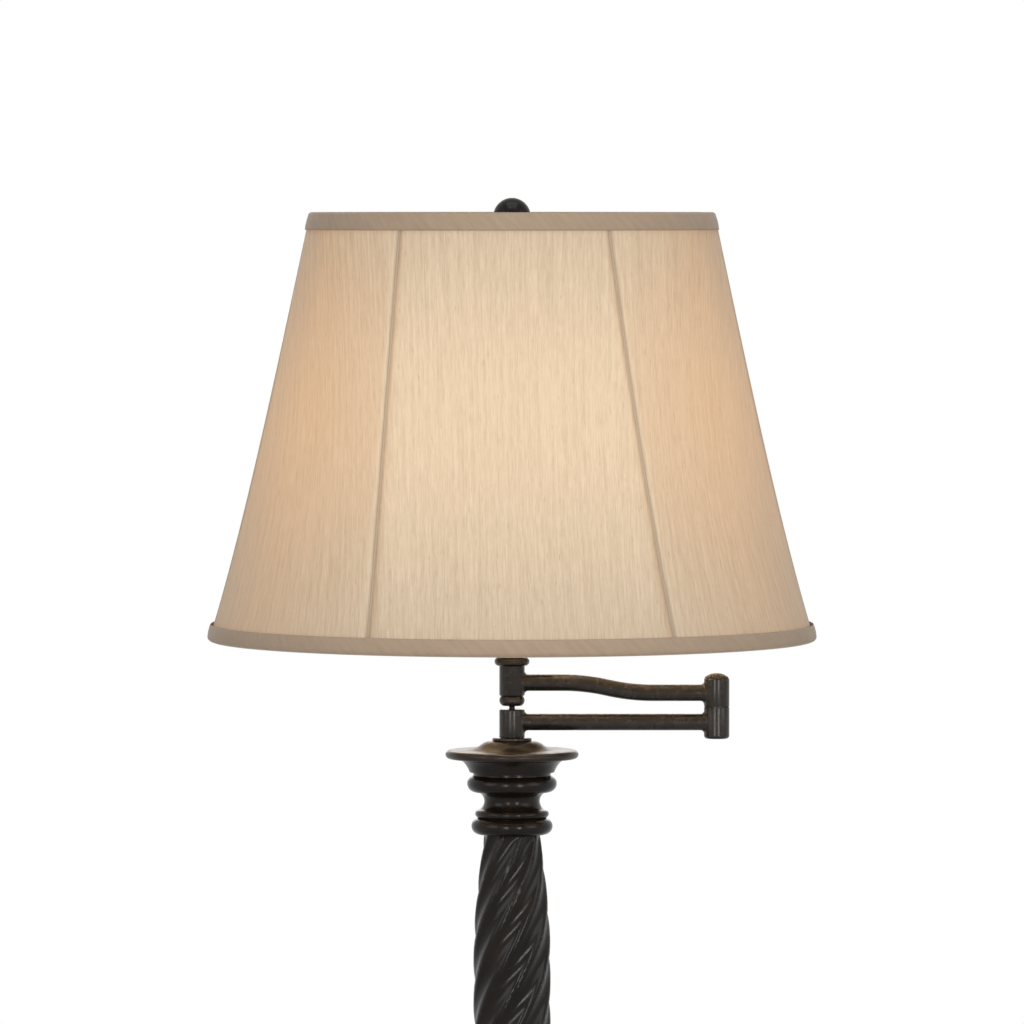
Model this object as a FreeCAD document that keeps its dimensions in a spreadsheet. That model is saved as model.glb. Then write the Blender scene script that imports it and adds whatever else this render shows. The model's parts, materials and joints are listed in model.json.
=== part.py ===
import FreeCAD, Part

import math
import os

import Sketcher

# Bridge floor lamp. Millimetres, +Z up. The origin is on the floor, on the axis of the
# column. At rest both arms point along +X, the second folded back over the first, so that
# the socket and the shade stand on the column's axis. The lamp is seen from -Y.

V = FreeCAD.Vector
PANELS = 6
PANEL_STEPS = 8
LANDS = 9
RUNOUT_STEPS = (0.0, 0.03, 0.15, 0.4, 0.7)

# Driving sizes: the cell's name, its value and what it is.
SIZES = (
    # fits
    ("running_fit", 0.05, "radial clearance of a shaft that turns in its bore"),
    ("sliding_gap", 0.3, "gap between faces that pass each other"),
    ("wall_fit", 0.35, "play round a pipe, a nut or a casting that is dropped in"),
    ("seat_lap", 0.02, "radial play of a piece that is pushed into its seat"),
    # base
    ("felt_thickness", 2.0, "felt pad"),
    ("felt_inset", 4.0, "felt pad's edge inside the rim"),
    ("base_radius", 140.0, "foot, an 11 in disc"),
    ("base_height", 56.0, "base shell"),
    ("rim_height", 15.0, "upright rim of the base"),
    ("rim_round", 3.0, "rounding of the rim's edges"),
    ("rim_bulge", 0.87, "sagitta of the rim's rounded edges"),
    ("base_step_inset", 6.0, "fillet step above the rim, in from the rim"),
    ("base_step_level", 18.0, "top of that step"),
    ("base_ogee_run", 28.0, "rim to where the ogee turns from convex to hollow"),
    ("base_ogee_level", 28.5, "its height"),
    ("base_ogee_bulge", 3.6, "sagitta of the convex half"),
    ("base_hollow_depth", 4.2, "sagitta of the hollow half"),
    ("base_bead_radius", 58.0, "root of the bead round the base's neck"),
    ("base_bead_level", 38.0, "bottom of the bead"),
    ("base_bead_height", 9.0, "bead"),
    ("base_bead_bulge", 3.6, "bead"),
    ("base_neck_radius", 43.0, "top of the base"),
    ("base_neck_depth", 2.4, "sagitta of the hollow below the neck"),
    ("base_wall", 11.0, "rim's wall round the hollow for the weight"),
    ("cavity_wall_height", 13.6, "upright wall of the hollow"),
    ("cavity_top_radius", 52.0, "flat ceiling of the hollow"),
    ("cavity_height", 30.0, "ceiling"),
    ("recess_radius", 27.0, "hollow under the weight for nut and washer"),
    ("recess_height", 17.0, "its depth"),
    ("base_washer_radius", 24.0, "steel washer"),
    ("base_washer_thickness", 3.0, "steel washer"),
    ("nut_flat_radius", 12.7, "corner radius of the hexagon nuts"),
    ("nut_height", 7.0, "hexagon nuts"),
    ("cord_channel_half", 7.5, "half width of the cord's channel in the weight"),
    ("cord_channel_height", 13.5, "its height"),
    ("bushing_level", 7.5, "cord bushing above the shell's lower edge"),
    ("bushing_bore", 4.0, "cord hole radius"),
    ("bushing_barrel", 4.9, "barrel radius"),
    ("bushing_flange", 6.2, "outer flange radius"),
    ("bushing_flange_thickness", 1.6, "outer flange"),
    ("bushing_lip", 5.6, "inner snap lip radius"),
    ("bushing_lip_thickness", 1.4, "inner snap lip"),
    # column
    ("pipe_radius", 6.35, "half inch steel pipe"),
    ("pipe_bore", 4.9, "wireway in the pipe"),
    ("pipe_foot", 4.0, "end of the pipe above the shell's lower edge"),
    ("coupling_radius", 9.5, "pipe coupling"),
    ("coupling_height", 34.0, "pipe coupling"),
    ("twist_height", 440.0, "each twisted casting"),
    ("twist_end_radius", 21.0, "twisted casting at both ends"),
    ("twist_swell", 8.0, "how much wider it is along its middle"),
    ("twist_swell_length", 95.0, "length of the swelling at each end"),
    ("twist_rate", 1.2, "degrees per millimetre, right handed"),
    ("flute_depth", 2.6, "hollow of a flute below the lands"),
    ("flute_runout", 9.0, "rounded end of the flutes"),
    ("loft_step", 8.0, "most that one section of the loft turns, degrees"),
    ("land_share", 0.2, "share of a ridge that its flat land takes"),
    ("capital_height", 56.0, "capital, and the base collar that mirrors it"),
    ("torus_root", 25.3, "lowest ring of the capital"),
    ("torus_height", 12.4, "lowest ring"),
    ("torus_bulge", 5.2, "lowest ring"),
    ("bead_root", 25.2, "small bead above it"),
    ("bead_height", 6.2, "small bead"),
    ("bead_bulge", 2.5, "small bead"),
    ("scotia_height", 13.4, "hollow neck of the capital"),
    ("scotia_depth", 5.5, "hollow neck"),
    ("step_radius", 27.6, "sharp step on top of the hollow"),
    ("astragal_root", 29.1, "upper ring"),
    ("astragal_height", 12.4, "upper ring"),
    ("astragal_bulge", 4.6, "upper ring"),
    ("capital_groove_height", 2.4, "groove above the upper ring"),
    ("cove_radius", 32.0, "start of the flare below the disc"),
    ("capital_rim", 38.6, "top of the capital"),
    ("cove_depth", 0.9, "hollow of the flare"),
    ("nut_room_radius", 14.5, "recess for the top nut"),
    ("nut_room_depth", 16.0, "recess for the top nut"),
    ("middle_collar_height", 52.0, "collar between the twisted castings"),
    ("middle_bead_root", 28.0, "its middle ring"),
    ("middle_bead_bulge", 6.0, "its middle ring"),
    # drip disc and the swivel on the column
    ("disc_height", 14.0, "disc from its seat to the check ring"),
    ("disc_radius", 46.9, "centre of the disc's rounded rim"),
    ("disc_rim_bottom", 1.0, "underside of the rim"),
    ("disc_rim_height", 6.2, "thickness of the rim"),
    ("disc_rim_bulge", 3.05, "rounding of the rim"),
    ("disc_shoulder_radius", 16.0, "top of the disc's bell"),
    ("disc_bell_radius", 24.2, "where the bell turns hollow"),
    ("disc_bell_level", 10.6, "its height"),
    ("disc_flat_radius", 36.0, "foot of the bell"),
    ("disc_flat_level", 7.4, "foot of the bell"),
    ("disc_bell_bulge", 0.8, "bell's convex shoulder"),
    ("disc_hollow_depth", 1.0, "bell's hollow foot"),
    ("skirt_radius", 9.0, "lower part of the swivel post"),
    ("skirt_engagement", 13.0, "thread of the post on the pipe"),
    ("check_ring_radius", 14.0, "check ring's edge before rounding"),
    ("check_ring_height", 2.6, "check ring"),
    ("check_ring_bulge", 0.85, "rounded edge"),
    ("overshoot", 1.0, "how far a cut runs past the face that it opens"),
    ("journal_radius", 6.5, "swivel journals"),
    ("wire_radius", 4.1, "wireway through the swivels and the tubes"),
    ("window_half", 3.6, "half width and half height of a wire window"),
    ("window_drop", 7.0, "centre of the post's window below the arm's axis"),
    # arms
    ("arm_pitch", 153.7, "column axis to elbow axis, 6 in"),
    ("arm_radius", 6.2, "arm tubes"),
    ("arm_wall", 1.0, "arm tubes"),
    ("boss_reach", 14.2, "end of a knuckle's boss from its axis"),
    ("boss_fillet", 2.6, "fillet between knuckle and boss"),
    ("spigot_reach", 8.0, "spigot inside the tube"),
    ("knuckle_radius", 9.55, "all knuckles"),
    ("knuckle_edge", 1.2, "rounded edges of a knuckle"),
    ("knuckle_edge_bulge", 0.35, "sagitta of those edges"),
    ("room_radius", 7.9, "wire room inside a knuckle"),
    ("room_margin", 0.4, "wire room above and below the wireway"),
    ("web", 2.0, "walls across a knuckle"),
    ("swivel_height", 21.1, "lower knuckle on the column"),
    ("swivel_arm_level", 11.4, "arm's axis above that knuckle's bottom"),
    ("screw_radius", 2.5, "swivel screw"),
    ("screw_head_radius", 4.2, "its flush head"),
    ("screw_head_height", 1.3, "its flush head"),
    ("screw_length", 9.0, "thread in the post"),
    ("screw_button_radius", 2.6, "button that stands above the knuckle"),
    ("screw_button_height", 2.4, "that button"),
    ("screw_button_waist", 0.5, "hollow of the button's side"),
    ("elbow_height", 23.4, "lower elbow knuckle"),
    ("elbow_arm_level", 12.4, "arm's axis above its bottom"),
    ("elbow_edge", 2.4, "its rounded lower edge"),
    ("elbow_edge_bulge", 0.7, "sagitta of that edge"),
    ("elbow_washer_thickness", 0.6, "fibre washer"),
    ("upper_elbow_height", 21.3, "upper elbow knuckle"),
    ("upper_elbow_arm_level", 10.1, "arm's axis above its bottom"),
    ("elbow_nut_radius", 8.0, "ring nut on the elbow bolt"),
    ("elbow_nut_height", 3.2, "ring nut"),
    ("elbow_cap_radius", 8.9, "domed cap"),
    ("elbow_cap_edge", 0.6, "upright edge of the cap"),
    ("elbow_cap_height", 3.7, "domed cap"),
    ("elbow_plug_depth", 1.0, "cap's plug in the knuckle"),
    ("bend_start", 38.0, "start of the upper arm's bend from the column axis"),
    ("bend_length", 68.0, "length of the bend"),
    # knuckle under the socket
    ("bead_nut_height", 7.1, "bead nut"),
    ("bead_nut_root", 8.3, "bead nut's top edge"),
    ("bead_nut_foot", 7.2, "bead nut's flat bottom"),
    ("bead_nut_bulge", 1.75, "bead nut's belly"),
    ("bead_nut_floor", 1.5, "closed bottom of the bead nut"),
    ("cup_taper_height", 1.2, "bevel at the knuckle's bottom"),
    ("cup_foot_radius", 8.6, "foot of the bevel"),
    ("cup_arm_level", 10.1, "arm's axis above the knuckle's bottom"),
    ("cup_body_height", 22.9, "straight body"),
    ("cup_lip_root", 10.3, "root of the rolled lip"),
    ("cup_lip_height", 6.4, "rolled lip"),
    ("cup_lip_bulge", 2.85, "rolled lip"),
    ("cup_bore", 9.7, "open mouth of the cup"),
    ("cup_floor", 17.0, "floor of the open cup above the knuckle's bottom"),
    ("cup_flare", 1.6, "height over which the cup widens to its mouth"),
    ("spacer_radius", 6.2, "neck that carries the saddle"),
    ("spacer_rise", 4.0, "neck above the lip of the cup"),
    ("nipple_radius", 4.75, "threaded nipple"),
    ("nipple_bore", 3.5, "wireway in the nipple"),
    ("nipple_window_half", 2.4, "wire window in the nipple"),
    ("nipple_reach", 8.0, "nipple above the saddle"),
    # harp
    ("saddle_thickness", 2.0, "harp saddle"),
    ("saddle_half_width", 7.0, "harp saddle"),
    ("harp_foot", 27.0, "legs of the harp from the axis"),
    ("harp_wire", 2.2, "harp wire radius"),
    ("harp_height", 302.6, "saddle top to the shade's seat, 12 in harp"),
    ("harp_half_width", 54.0, "widest part"),
    ("harp_leg_start", 5.0, "bottom of the wire above the saddle"),
    ("harp_leg_height", 24.0, "straight legs end here above the saddle"),
    ("harp_flare_angle", 35.0, "how far the wire leans outwards, degrees"),
    ("sleeve_radius", 4.0, "sleeves round the legs"),
    ("sleeve_height", 19.0, "sleeves"),
    ("harp_stud_radius", 3.15, "quarter inch stud"),
    ("harp_stud_collar", 5.2, "collar of the stud"),
    ("harp_stud_drop", 6.4, "collar's height below the shade's seat"),
    ("harp_wire_drop", 3.1, "wire's axis below the shade's seat"),
    ("harp_stud_reach", 14.0, "thread above the shade's seat"),
    # socket
    ("socket_cap_hub", 7.5, "hub of the socket cap"),
    ("socket_cap_hub_height", 3.0, "hub of the socket cap"),
    ("socket_cap_height", 19.0, "socket cap"),
    ("socket_cap_bulge", 3.0, "dome of the socket cap"),
    ("socket_cap_shoulder", 13.0, "top of the dome"),
    ("socket_radius", 17.6, "socket shell"),
    ("socket_wall", 0.6, "brass wall"),
    ("socket_shell_height", 43.0, "socket shell above the cap"),
    ("socket_mouth", 19.0, "flared mouth of the shell"),
    ("socket_mouth_height", 2.5, "flared mouth of the shell"),
    ("liner_wall", 0.7, "insulating liner"),
    ("socket_body_height", 18.0, "moulded interior"),
    ("thread_shell_radius", 13.6, "screw shell"),
    ("thread_shell_wall", 0.6, "screw shell"),
    ("thread_shell_height", 24.0, "screw shell"),
    ("thread_shell_hole", 8.0, "hole in the bottom of the screw shell"),
    ("contact_radius", 4.0, "centre contact"),
    ("contact_height", 2.4, "centre contact"),
    ("key_level", 12.0, "switch key above the bottom of the shell"),
    ("key_spindle_radius", 2.4, "switch spindle"),
    ("key_spindle_start", 4.2, "inner end of the spindle from the socket's axis"),
    ("key_stem_radius", 3.6, "stem of the key"),
    ("key_stem_reach", 6.0, "stem of the key outside the shell"),
    ("key_wing_half", 9.0, "half length of the key's wings"),
    ("key_wing_depth", 7.0, "wings"),
    ("key_wing_thickness", 3.4, "wings"),
    ("key_wing_bulge", 2.6, "rounded ends of the wings"),
    # bulb
    ("bulb_radius", 33.0, "A21 envelope"),
    ("bulb_neck_radius", 13.0, "neck of the glass"),
    ("bulb_shoulder_radius", 29.0, "end of the neck's hollow side"),
    ("bulb_shoulder_level", 50.0, "its height above the neck"),
    ("bulb_neck_depth", 3.0, "hollow of the neck's side"),
    ("bulb_shoulder_bulge", 1.8, "swell above it"),
    ("bulb_widest_level", 72.0, "level of the widest part"),
    ("bulb_wall", 1.0, "glass"),
    ("bulb_cap_radius", 12.7, "E26 cap"),
    ("bulb_cap_height", 23.0, "E26 cap"),
    ("bulb_tip_radius", 4.5, "contact end of the cap"),
    ("bulb_tip_height", 3.0, "insulated cone above the contact"),
    # shade
    ("shade_drop", 297.1, "lower edge of the shade below its seat on the harp"),
    ("hem_turn", 1.0, "lower band below its ring wire"),
    ("shade_height", 322.4, "whole shade with both bands, 13 in along the slope"),
    ("band_height", 13.2, "fabric bands"),
    ("band_thickness", 0.9, "fabric bands"),
    ("band_bulge", 0.7, "rounded face of the bands"),
    ("band_lean", 3.0, "how far a band is drawn in from its lower to its upper edge"),
    ("shade_bottom_radius", 228.6, "lower band at its lower edge, 18 in"),
    ("shade_top_radius", 155.2, "upper band at its lower edge, 12 in"),
    ("shade_sag", 3.6, "how far the ribs bow in below a straight line"),
    ("shade_flare", 0.7, "puts the deepest bow lower than mid height"),
    ("seam_gap", 0.02, "degrees between a panel and its seam"),
    ("shade_twist", 4.6, "degrees that the ribs lean from bottom to top"),
    ("shade_turn", -27.9, "azimuth of the first rib at the bottom from -Y"),
    ("panel_thickness", 1.2, "fabric and lining"),
    ("panel_flatness", 0.5, "how far a panel is drawn flat at mid height"),
    ("rib_radius", 1.5, "rib wires"),
    ("ring_radius", 2.2, "ring wires"),
    ("spider_hub_radius", 9.0, "spider's hub"),
    ("spider_thickness", 3.4, "spider's hub"),
    ("spider_wire", 1.6, "spider's arms"),
    ("spider_bend", 10.0, "bend of the arms up to the ring"),
    # finial
    ("finial_radius", 14.25, "ball"),
    ("finial_neck", 5.6, "neck below the ball"),
    ("finial_foot", 8.2, "foot of the finial"),
    ("finial_foot_height", 2.6, "foot of the finial"),
    ("finial_neck_height", 2.35, "neck between foot and ball"),
    ("finial_sink", 1.0, "ball's bottom below the neck's top"),
    ("insert_radius", 4.9, "brass insert"),
)

# Places and sizes that follow from the ones above.
DERIVED = (
    ("shell_bottom", "felt_thickness"),
    ("base_top", "shell_bottom + base_height"),
    ("base_collar_top", "base_top + capital_height"),
    ("lower_twist_top", "base_collar_top + twist_height"),
    ("middle_collar_top", "lower_twist_top + middle_collar_height"),
    ("upper_twist_top", "middle_collar_top + twist_height"),
    ("capital_top", "upper_twist_top + capital_height"),
    ("disc_top", "capital_top + disc_height"),
    ("check_ring_top", "disc_top + check_ring_height"),
    ("swivel_bottom", "check_ring_top + sliding_gap"),
    ("swivel_top", "swivel_bottom + swivel_height"),
    ("bead_nut_bottom", "swivel_top + screw_button_height + sliding_gap"),
    ("cup_bottom", "bead_nut_bottom + bead_nut_height"),
    ("cup_top", "cup_bottom + cup_body_height + cup_lip_height"),
    ("saddle_bottom", "cup_top + spacer_rise"),
    ("saddle_top", "saddle_bottom + saddle_thickness"),
    ("shade_seat", "saddle_top + harp_height"),
    ("shade_hem", "shade_seat - shade_drop"),
    ("hub_bottom", "shade_seat + sliding_gap / 2"),
    ("hub_top", "hub_bottom + spider_thickness"),
    ("finial_bottom", "hub_top + sliding_gap"),
    ("lower_arm_axis", "swivel_bottom + swivel_arm_level"),
    ("elbow_bottom", "lower_arm_axis - elbow_arm_level"),
    ("upper_elbow_bottom", "elbow_bottom + elbow_height + elbow_washer_thickness + sliding_gap"),
    ("upper_elbow_top", "upper_elbow_bottom + upper_elbow_height"),
    ("outer_arm_axis", "upper_elbow_bottom + upper_elbow_arm_level"),
    ("inner_arm_axis", "cup_bottom + cup_arm_level"),
    ("room_half", "wire_radius + room_margin"),
    ("casting_bore", "pipe_radius + wall_fit"),
    ("journal_bore", "journal_radius + running_fit"),
    ("base_step_radius", "base_radius - base_step_inset"),
    ("base_ogee_radius", "base_radius - base_ogee_run"),
    ("cavity_radius", "base_radius - base_wall"),
    ("bushing_back", "cavity_radius - sliding_gap"),
    ("bushing_length", "base_radius - bushing_back"),
    ("recess_ceiling", "shell_bottom + recess_height"),
    ("middle_level", "lower_twist_top + middle_collar_height / 2"),
    ("coupling_bottom", "middle_level - coupling_height / 2"),
    ("post_bottom", "capital_top - nut_room_depth + nut_height"),
    ("post_skirt", "disc_top - post_bottom"),
    ("post_window", "lower_arm_axis - window_drop - post_bottom"),
    ("screw_seat", "swivel_height - screw_head_height - sliding_gap"),
    ("journal_room", "screw_seat - web"),
    ("post_top", "swivel_bottom + journal_room - sliding_gap"),
    ("post_height", "post_top - post_bottom"),
    ("screw_bottom", "post_top - screw_length"),
    ("screw_shank", "swivel_top - screw_head_height - screw_bottom"),
    ("spigot_radius", "arm_radius - arm_wall - seat_lap"),
    ("spigot_end", "boss_reach + spigot_reach"),
    ("elbow_top", "elbow_bottom + elbow_height"),
    ("bolt_bottom", "elbow_bottom + web"),
    ("nut_shelf", "upper_elbow_height - elbow_plug_depth - elbow_nut_height - 2 * sliding_gap"),
    ("elbow_nut_bottom", "upper_elbow_bottom + nut_shelf + sliding_gap"),
    ("bolt_height", "elbow_nut_bottom + elbow_nut_height - bolt_bottom"),
    ("elbow_dome", "elbow_cap_height - elbow_cap_edge"),
    ("elbow_dome_radius", "(elbow_cap_radius ^ 2 + elbow_dome ^ 2) / (2 * elbow_dome)"),
    ("elbow_dome_chord", "sqrt(elbow_cap_radius ^ 2 + elbow_dome ^ 2)"),
    ("elbow_dome_bulge",
     "elbow_dome_radius - sqrt(elbow_dome_radius ^ 2 - elbow_dome_chord ^ 2 / 4)"),
    ("arm_drop", "inner_arm_axis - outer_arm_axis"),
    ("bend_angle", "2 * atan(arm_drop / bend_length)"),
    ("bend_radius", "bend_length / (2 * sin(bend_angle))"),
    ("bend_bulge", "bend_radius * (1 - cos(bend_angle / 2))"),
    ("bend_middle", "bend_start + bend_length / 2"),
    ("bend_half_drop", "arm_drop / 2"),
    ("elbow_boss", "arm_pitch - boss_reach"),
    ("spacer_height", "saddle_bottom - cup_bottom - cup_floor"),
    ("nipple_height", "saddle_top + nipple_reach - bead_nut_bottom - bead_nut_floor"),
    ("nipple_window", "inner_arm_axis - bead_nut_bottom - bead_nut_floor"),
    ("harp_widening", "harp_half_width - harp_foot"),
    ("harp_flare_rise", "harp_widening / tan(harp_flare_angle * 0.5 deg)"),
    ("harp_flare_middle", "harp_leg_height + harp_flare_rise / 2"),
    ("harp_flare_top", "harp_leg_height + harp_flare_rise"),
    ("harp_flare_radius", "harp_widening / (2 * (1 - cos(harp_flare_angle * 1 deg)))"),
    ("harp_flare_bulge", "harp_flare_radius * (1 - cos(harp_flare_angle * 0.5 deg))"),
    ("harp_middle", "harp_foot + harp_widening / 2"),
    ("harp_crown", "harp_height - harp_wire_drop"),
    ("harp_shoulder", "harp_crown - harp_half_width"),
    ("harp_crown_bulge", "harp_half_width * (1 - cos(45 deg))"),
    ("shell_seat", "saddle_top + socket_cap_height"),
    ("key_axis", "shell_seat + key_level"),
    ("liner_radius", "socket_radius - socket_wall - seat_lap"),
    ("liner_height", "socket_shell_height - socket_mouth_height"),
    ("body_radius", "liner_radius - liner_wall - seat_lap"),
    ("thread_shell_bottom", "shell_seat + socket_body_height"),
    ("bulb_cap_bottom", "thread_shell_bottom + contact_height"),
    ("bulb_neck", "bulb_cap_bottom + bulb_cap_height"),
    ("bulb_height", "bulb_widest_level + bulb_radius"),
    ("bulb_crown_bulge", "bulb_radius * (1 - cos(45 deg))"),
    ("bulb_inner_bulge", "(bulb_radius - bulb_wall) * (1 - cos(45 deg))"),
    ("key_shoulder", "socket_radius + sliding_gap"),
    ("key_end", "key_shoulder + key_stem_reach"),
    ("shade_top", "shade_hem + shade_height"),
    ("top_ring_level", "shade_top - band_height / 2"),
    ("bottom_ring_level", "shade_hem + ring_radius + hem_turn"),
    ("band_slope", "band_lean / band_height"),
    ("bottom_band_inner", "shade_bottom_radius - band_thickness"),
    ("top_band_inner", "shade_top_radius - band_thickness"),
    ("ring_inset", "ring_radius * sqrt(1 + band_slope ^ 2) + seat_lap"),
    ("top_ring_radius",
     "top_band_inner - band_slope * (top_ring_level - shade_top + band_height) - ring_inset"),
    ("bottom_ring_radius",
     "bottom_band_inner - band_slope * (bottom_ring_level - shade_hem) - ring_inset"),
    ("panel_bottom", "bottom_ring_level + ring_radius + sliding_gap"),
    ("panel_top", "top_ring_level - ring_radius - sliding_gap"),
    ("panel_bottom_radius",
     "bottom_band_inner - band_slope * (panel_bottom - shade_hem) - sliding_gap / 2"),
    ("panel_top_radius",
     "top_band_inner - band_slope * (panel_top - shade_top + band_height) - sliding_gap / 2"),
    ("hub_bore", "harp_stud_radius + running_fit"),
    ("spider_axis", "spider_thickness / 2"),
    ("spider_rise", "top_ring_level - ring_radius - hub_bottom"),
    ("spider_reach", "top_ring_radius - spider_wire"),
    ("spider_turn", "spider_reach - spider_bend"),
    ("spider_turn_top", "spider_axis + spider_bend"),
    ("spider_bend_bulge", "spider_bend * (1 - cos(45 deg))"),
    ("ball_centre", "finial_foot_height + finial_neck_height + finial_radius - finial_sink"),
    ("ball_foot", "ball_centre - sqrt(finial_radius ^ 2 - finial_neck ^ 2)"),
    ("ball_lower_bulge", "finial_radius * (1 - cos((90 deg - asin(finial_neck / finial_radius)) / 2))"),
    ("ball_upper_bulge", "finial_radius * (1 - cos(45 deg))"),
    ("insert_height", "harp_stud_reach - spider_thickness - sliding_gap"),
)

doc = FreeCAD.newDocument("bridge_floor_lamp")
sheet = doc.addObject("Spreadsheet::Sheet", "sizes")
CELLS = {}


def add_cell(name, content, remark=""):
    """One named cell, written in the next free row."""
    row = len(CELLS) + 1
    CELLS[name] = row
    sheet.set("A%d" % row, name)
    sheet.set("B%d" % row, content)
    sheet.set("C%d" % row, remark)
    sheet.setAlias("B%d" % row, name)


for cell_name, cell_value, cell_remark in SIZES:
    add_cell(cell_name, str(cell_value), cell_remark)
for cell_name, formula in DERIVED:
    add_cell(cell_name, "=" + formula, "follows from the sizes above")
doc.recompute()


def words(formula):
    """The words of a sum such as 'arm_radius - arm_wall', each with its sign."""
    sign = 1
    for word in formula.split():
        if word == "-":
            sign = -1
        elif word != "+":
            yield sign, word
            sign = 1


def value(formula):
    """What a sum of cell names and numbers comes to."""
    total = 0.0
    for sign, word in words(formula):
        total += sign * (float(sheet.get(word)) if word in CELLS else float(word))
    return total


def linked(formula):
    """The same sum as an expression that names the sheet's cells."""
    parts = []
    for sign, word in words(formula):
        parts.append(("- " if sign < 0 else "+ ") + ("sizes." + word if word in CELLS else word))
    return "0 " + " ".join(parts)


def plane(body, role):
    """One of a body's own origin planes."""
    for feature in body.Origin.OriginFeatures:
        if feature.Role == role:
            return feature
    raise ValueError(role)


PIECES = []


def keep(piece, label, level="0", across="0", turn=None):
    """Names a finished piece, puts it in its place and lists it for the part."""
    piece.Label = label
    if turn is not None:
        piece.Placement = FreeCAD.Placement(V(0, 0, 0), turn)
    if level != "0":
        piece.setExpression("Placement.Base.z", linked(level))
    if across != "0":
        piece.setExpression("Placement.Base.x", linked(across))
    PIECES.append(piece)
    return piece


def new_sketch(body, name, role="XZ_Plane", rise="0", lift="0"):
    """A sketch on one of the body's planes, moved up in that plane or off it."""
    sketch = body.newObject("Sketcher::SketchObject", name)
    sketch.AttachmentSupport = (plane(body, role), [""])
    sketch.MapMode = "FlatFace"
    if rise != "0":
        sketch.setExpression("AttachmentOffset.Base.y", linked(rise))
    if lift != "0":
        sketch.setExpression("AttachmentOffset.Base.z", linked(lift))
    return sketch


def sagitta_radius(first, second, bulge):
    """Radius of the arc that stands a bulge off its chord: as a number and as an expression."""
    across = value(second[0]) - value(first[0])
    rise = value(second[1]) - value(first[1])
    height = abs(value(bulge))
    number = (across ** 2 + rise ** 2) / (8 * height) + height / 2
    chord = "((%s) - (%s))^2 + ((%s) - (%s))^2" % (
        linked(second[0]), linked(first[0]), linked(second[1]), linked(first[1]))
    text = "(%s) / (8 * abs(%s)) + abs(%s) / 2" % (chord, linked(bulge), linked(bulge))
    return number, text


def bulged_arc(first, second, bulge):
    """Arc from one corner to the next: a positive bulge stands out to the right of the way."""
    start = V(value(first[0]), value(first[1]), 0)
    end = V(value(second[0]), value(second[1]), 0)
    way = end - start
    right = V(way.y, -way.x, 0).normalize()
    middle = (start + end) * 0.5 + right * value(bulge)
    return Part.Arc(start, middle, end)


def outline(sketch, corners, closed=True):
    """Lines and arcs through corners (across, up[, bulge to the next corner]).

    A closed outline goes anticlockwise, so that a positive bulge swells it.
    """
    count = len(corners)
    last = count if closed else count - 1
    for index in range(last):
        corner, following = corners[index], corners[(index + 1) % count]
        if len(corner) == 3:
            sketch.addGeometry(bulged_arc(corner, following, corner[2]), False)
        else:
            start = V(value(corner[0]), value(corner[1]), 0)
            end = V(value(following[0]), value(following[1]), 0)
            sketch.addGeometry(Part.LineSegment(start, end), False)
    # An arc runs anticlockwise in the sketch, so a hollow one has its ends the other way.
    starts = [2 if len(corner) == 3 and value(corner[2]) < 0 else 1 for corner in corners]
    bound = []

    def pin(index, end, corner):
        """Holds one end of a line or arc at its corner."""
        for kind, formula, axis in (("DistanceX", corner[0], -2), ("DistanceY", corner[1], -1)):
            if formula == "0":
                sketch.addConstraint(Sketcher.Constraint("PointOnObject", index, end, axis))
            else:
                number = sketch.addConstraint(Sketcher.Constraint(
                    kind, -1, 1, index, end, value(formula)))
                bound.append((number, linked(formula)))

    for index in range(last):
        corner, following = corners[index], corners[(index + 1) % count]
        pin(index, starts[index], corner)
        if closed or index < last - 1:
            after = (index + 1) % count
            sketch.addConstraint(Sketcher.Constraint(
                "Coincident", index, 3 - starts[index], after, starts[after]))
        else:
            pin(index, 3 - starts[index], following)
        if len(corner) == 3:
            radius, text = sagitta_radius(corner, following, corner[2])
            bound.append((sketch.addConstraint(Sketcher.Constraint("Radius", index, radius)), text))
    for number, text in bound:
        sketch.setExpression("Constraints[%d]" % number, text)


def circles(sketch, across, up, radii):
    """Concentric circles at a place in a sketch."""
    for radius in radii:
        index = sketch.GeometryCount
        centre = V(value(across), value(up), 0)
        sketch.addGeometry(Part.Circle(centre, V(0, 0, 1), value(radius)), False)
        number = sketch.addConstraint(Sketcher.Constraint("Radius", index, value(radius)))
        sketch.setExpression("Constraints[%d]" % number, linked(radius))
        for kind, formula, axis in (("DistanceX", across, -2), ("DistanceY", up, -1)):
            if formula == "0":
                sketch.addConstraint(Sketcher.Constraint("PointOnObject", index, 3, axis))
            else:
                number = sketch.addConstraint(Sketcher.Constraint(
                    kind, -1, 1, index, 3, value(formula)))
                sketch.setExpression("Constraints[%d]" % number, linked(formula))


def revolve(body, name, corners, kind="Revolution"):
    """Turns an outline (radius, height) round the body's Z axis."""
    sketch = new_sketch(body, name + "_outline")
    outline(sketch, corners)
    feature = body.newObject("PartDesign::" + kind, name)
    feature.Profile = sketch
    feature.ReferenceAxis = (sketch, ["V_Axis"])
    feature.Angle = 360
    return feature


def turned(label, corners, level="0", across="0", turn=None):
    """A piece that is turned on a lathe."""
    body = doc.addObject("PartDesign::Body", label)
    revolve(body, label + "_turning", corners)
    return keep(body, label, level, across, turn)


# Planes and senses of a cut that runs from a piece's own axis outwards.
SIDES = {
    "+x": ("YZ_Plane", True),
    "-x": ("YZ_Plane", False),
    "+y": ("XZ_Plane", False),
    "-y": ("XZ_Plane", True),
}


def cut_sideways(body, name, side, rise, draw):
    """Cut from the body's axis out to one side, through whatever draw puts in its sketch."""
    role, reverse = SIDES[side]
    sketch = new_sketch(body, name + "_outline", role, rise)
    draw(sketch)
    pocket = body.newObject("PartDesign::Pocket", name)
    pocket.Profile = sketch
    pocket.Type = "ThroughAll"
    pocket.Reversed = reverse
    return pocket


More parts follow.
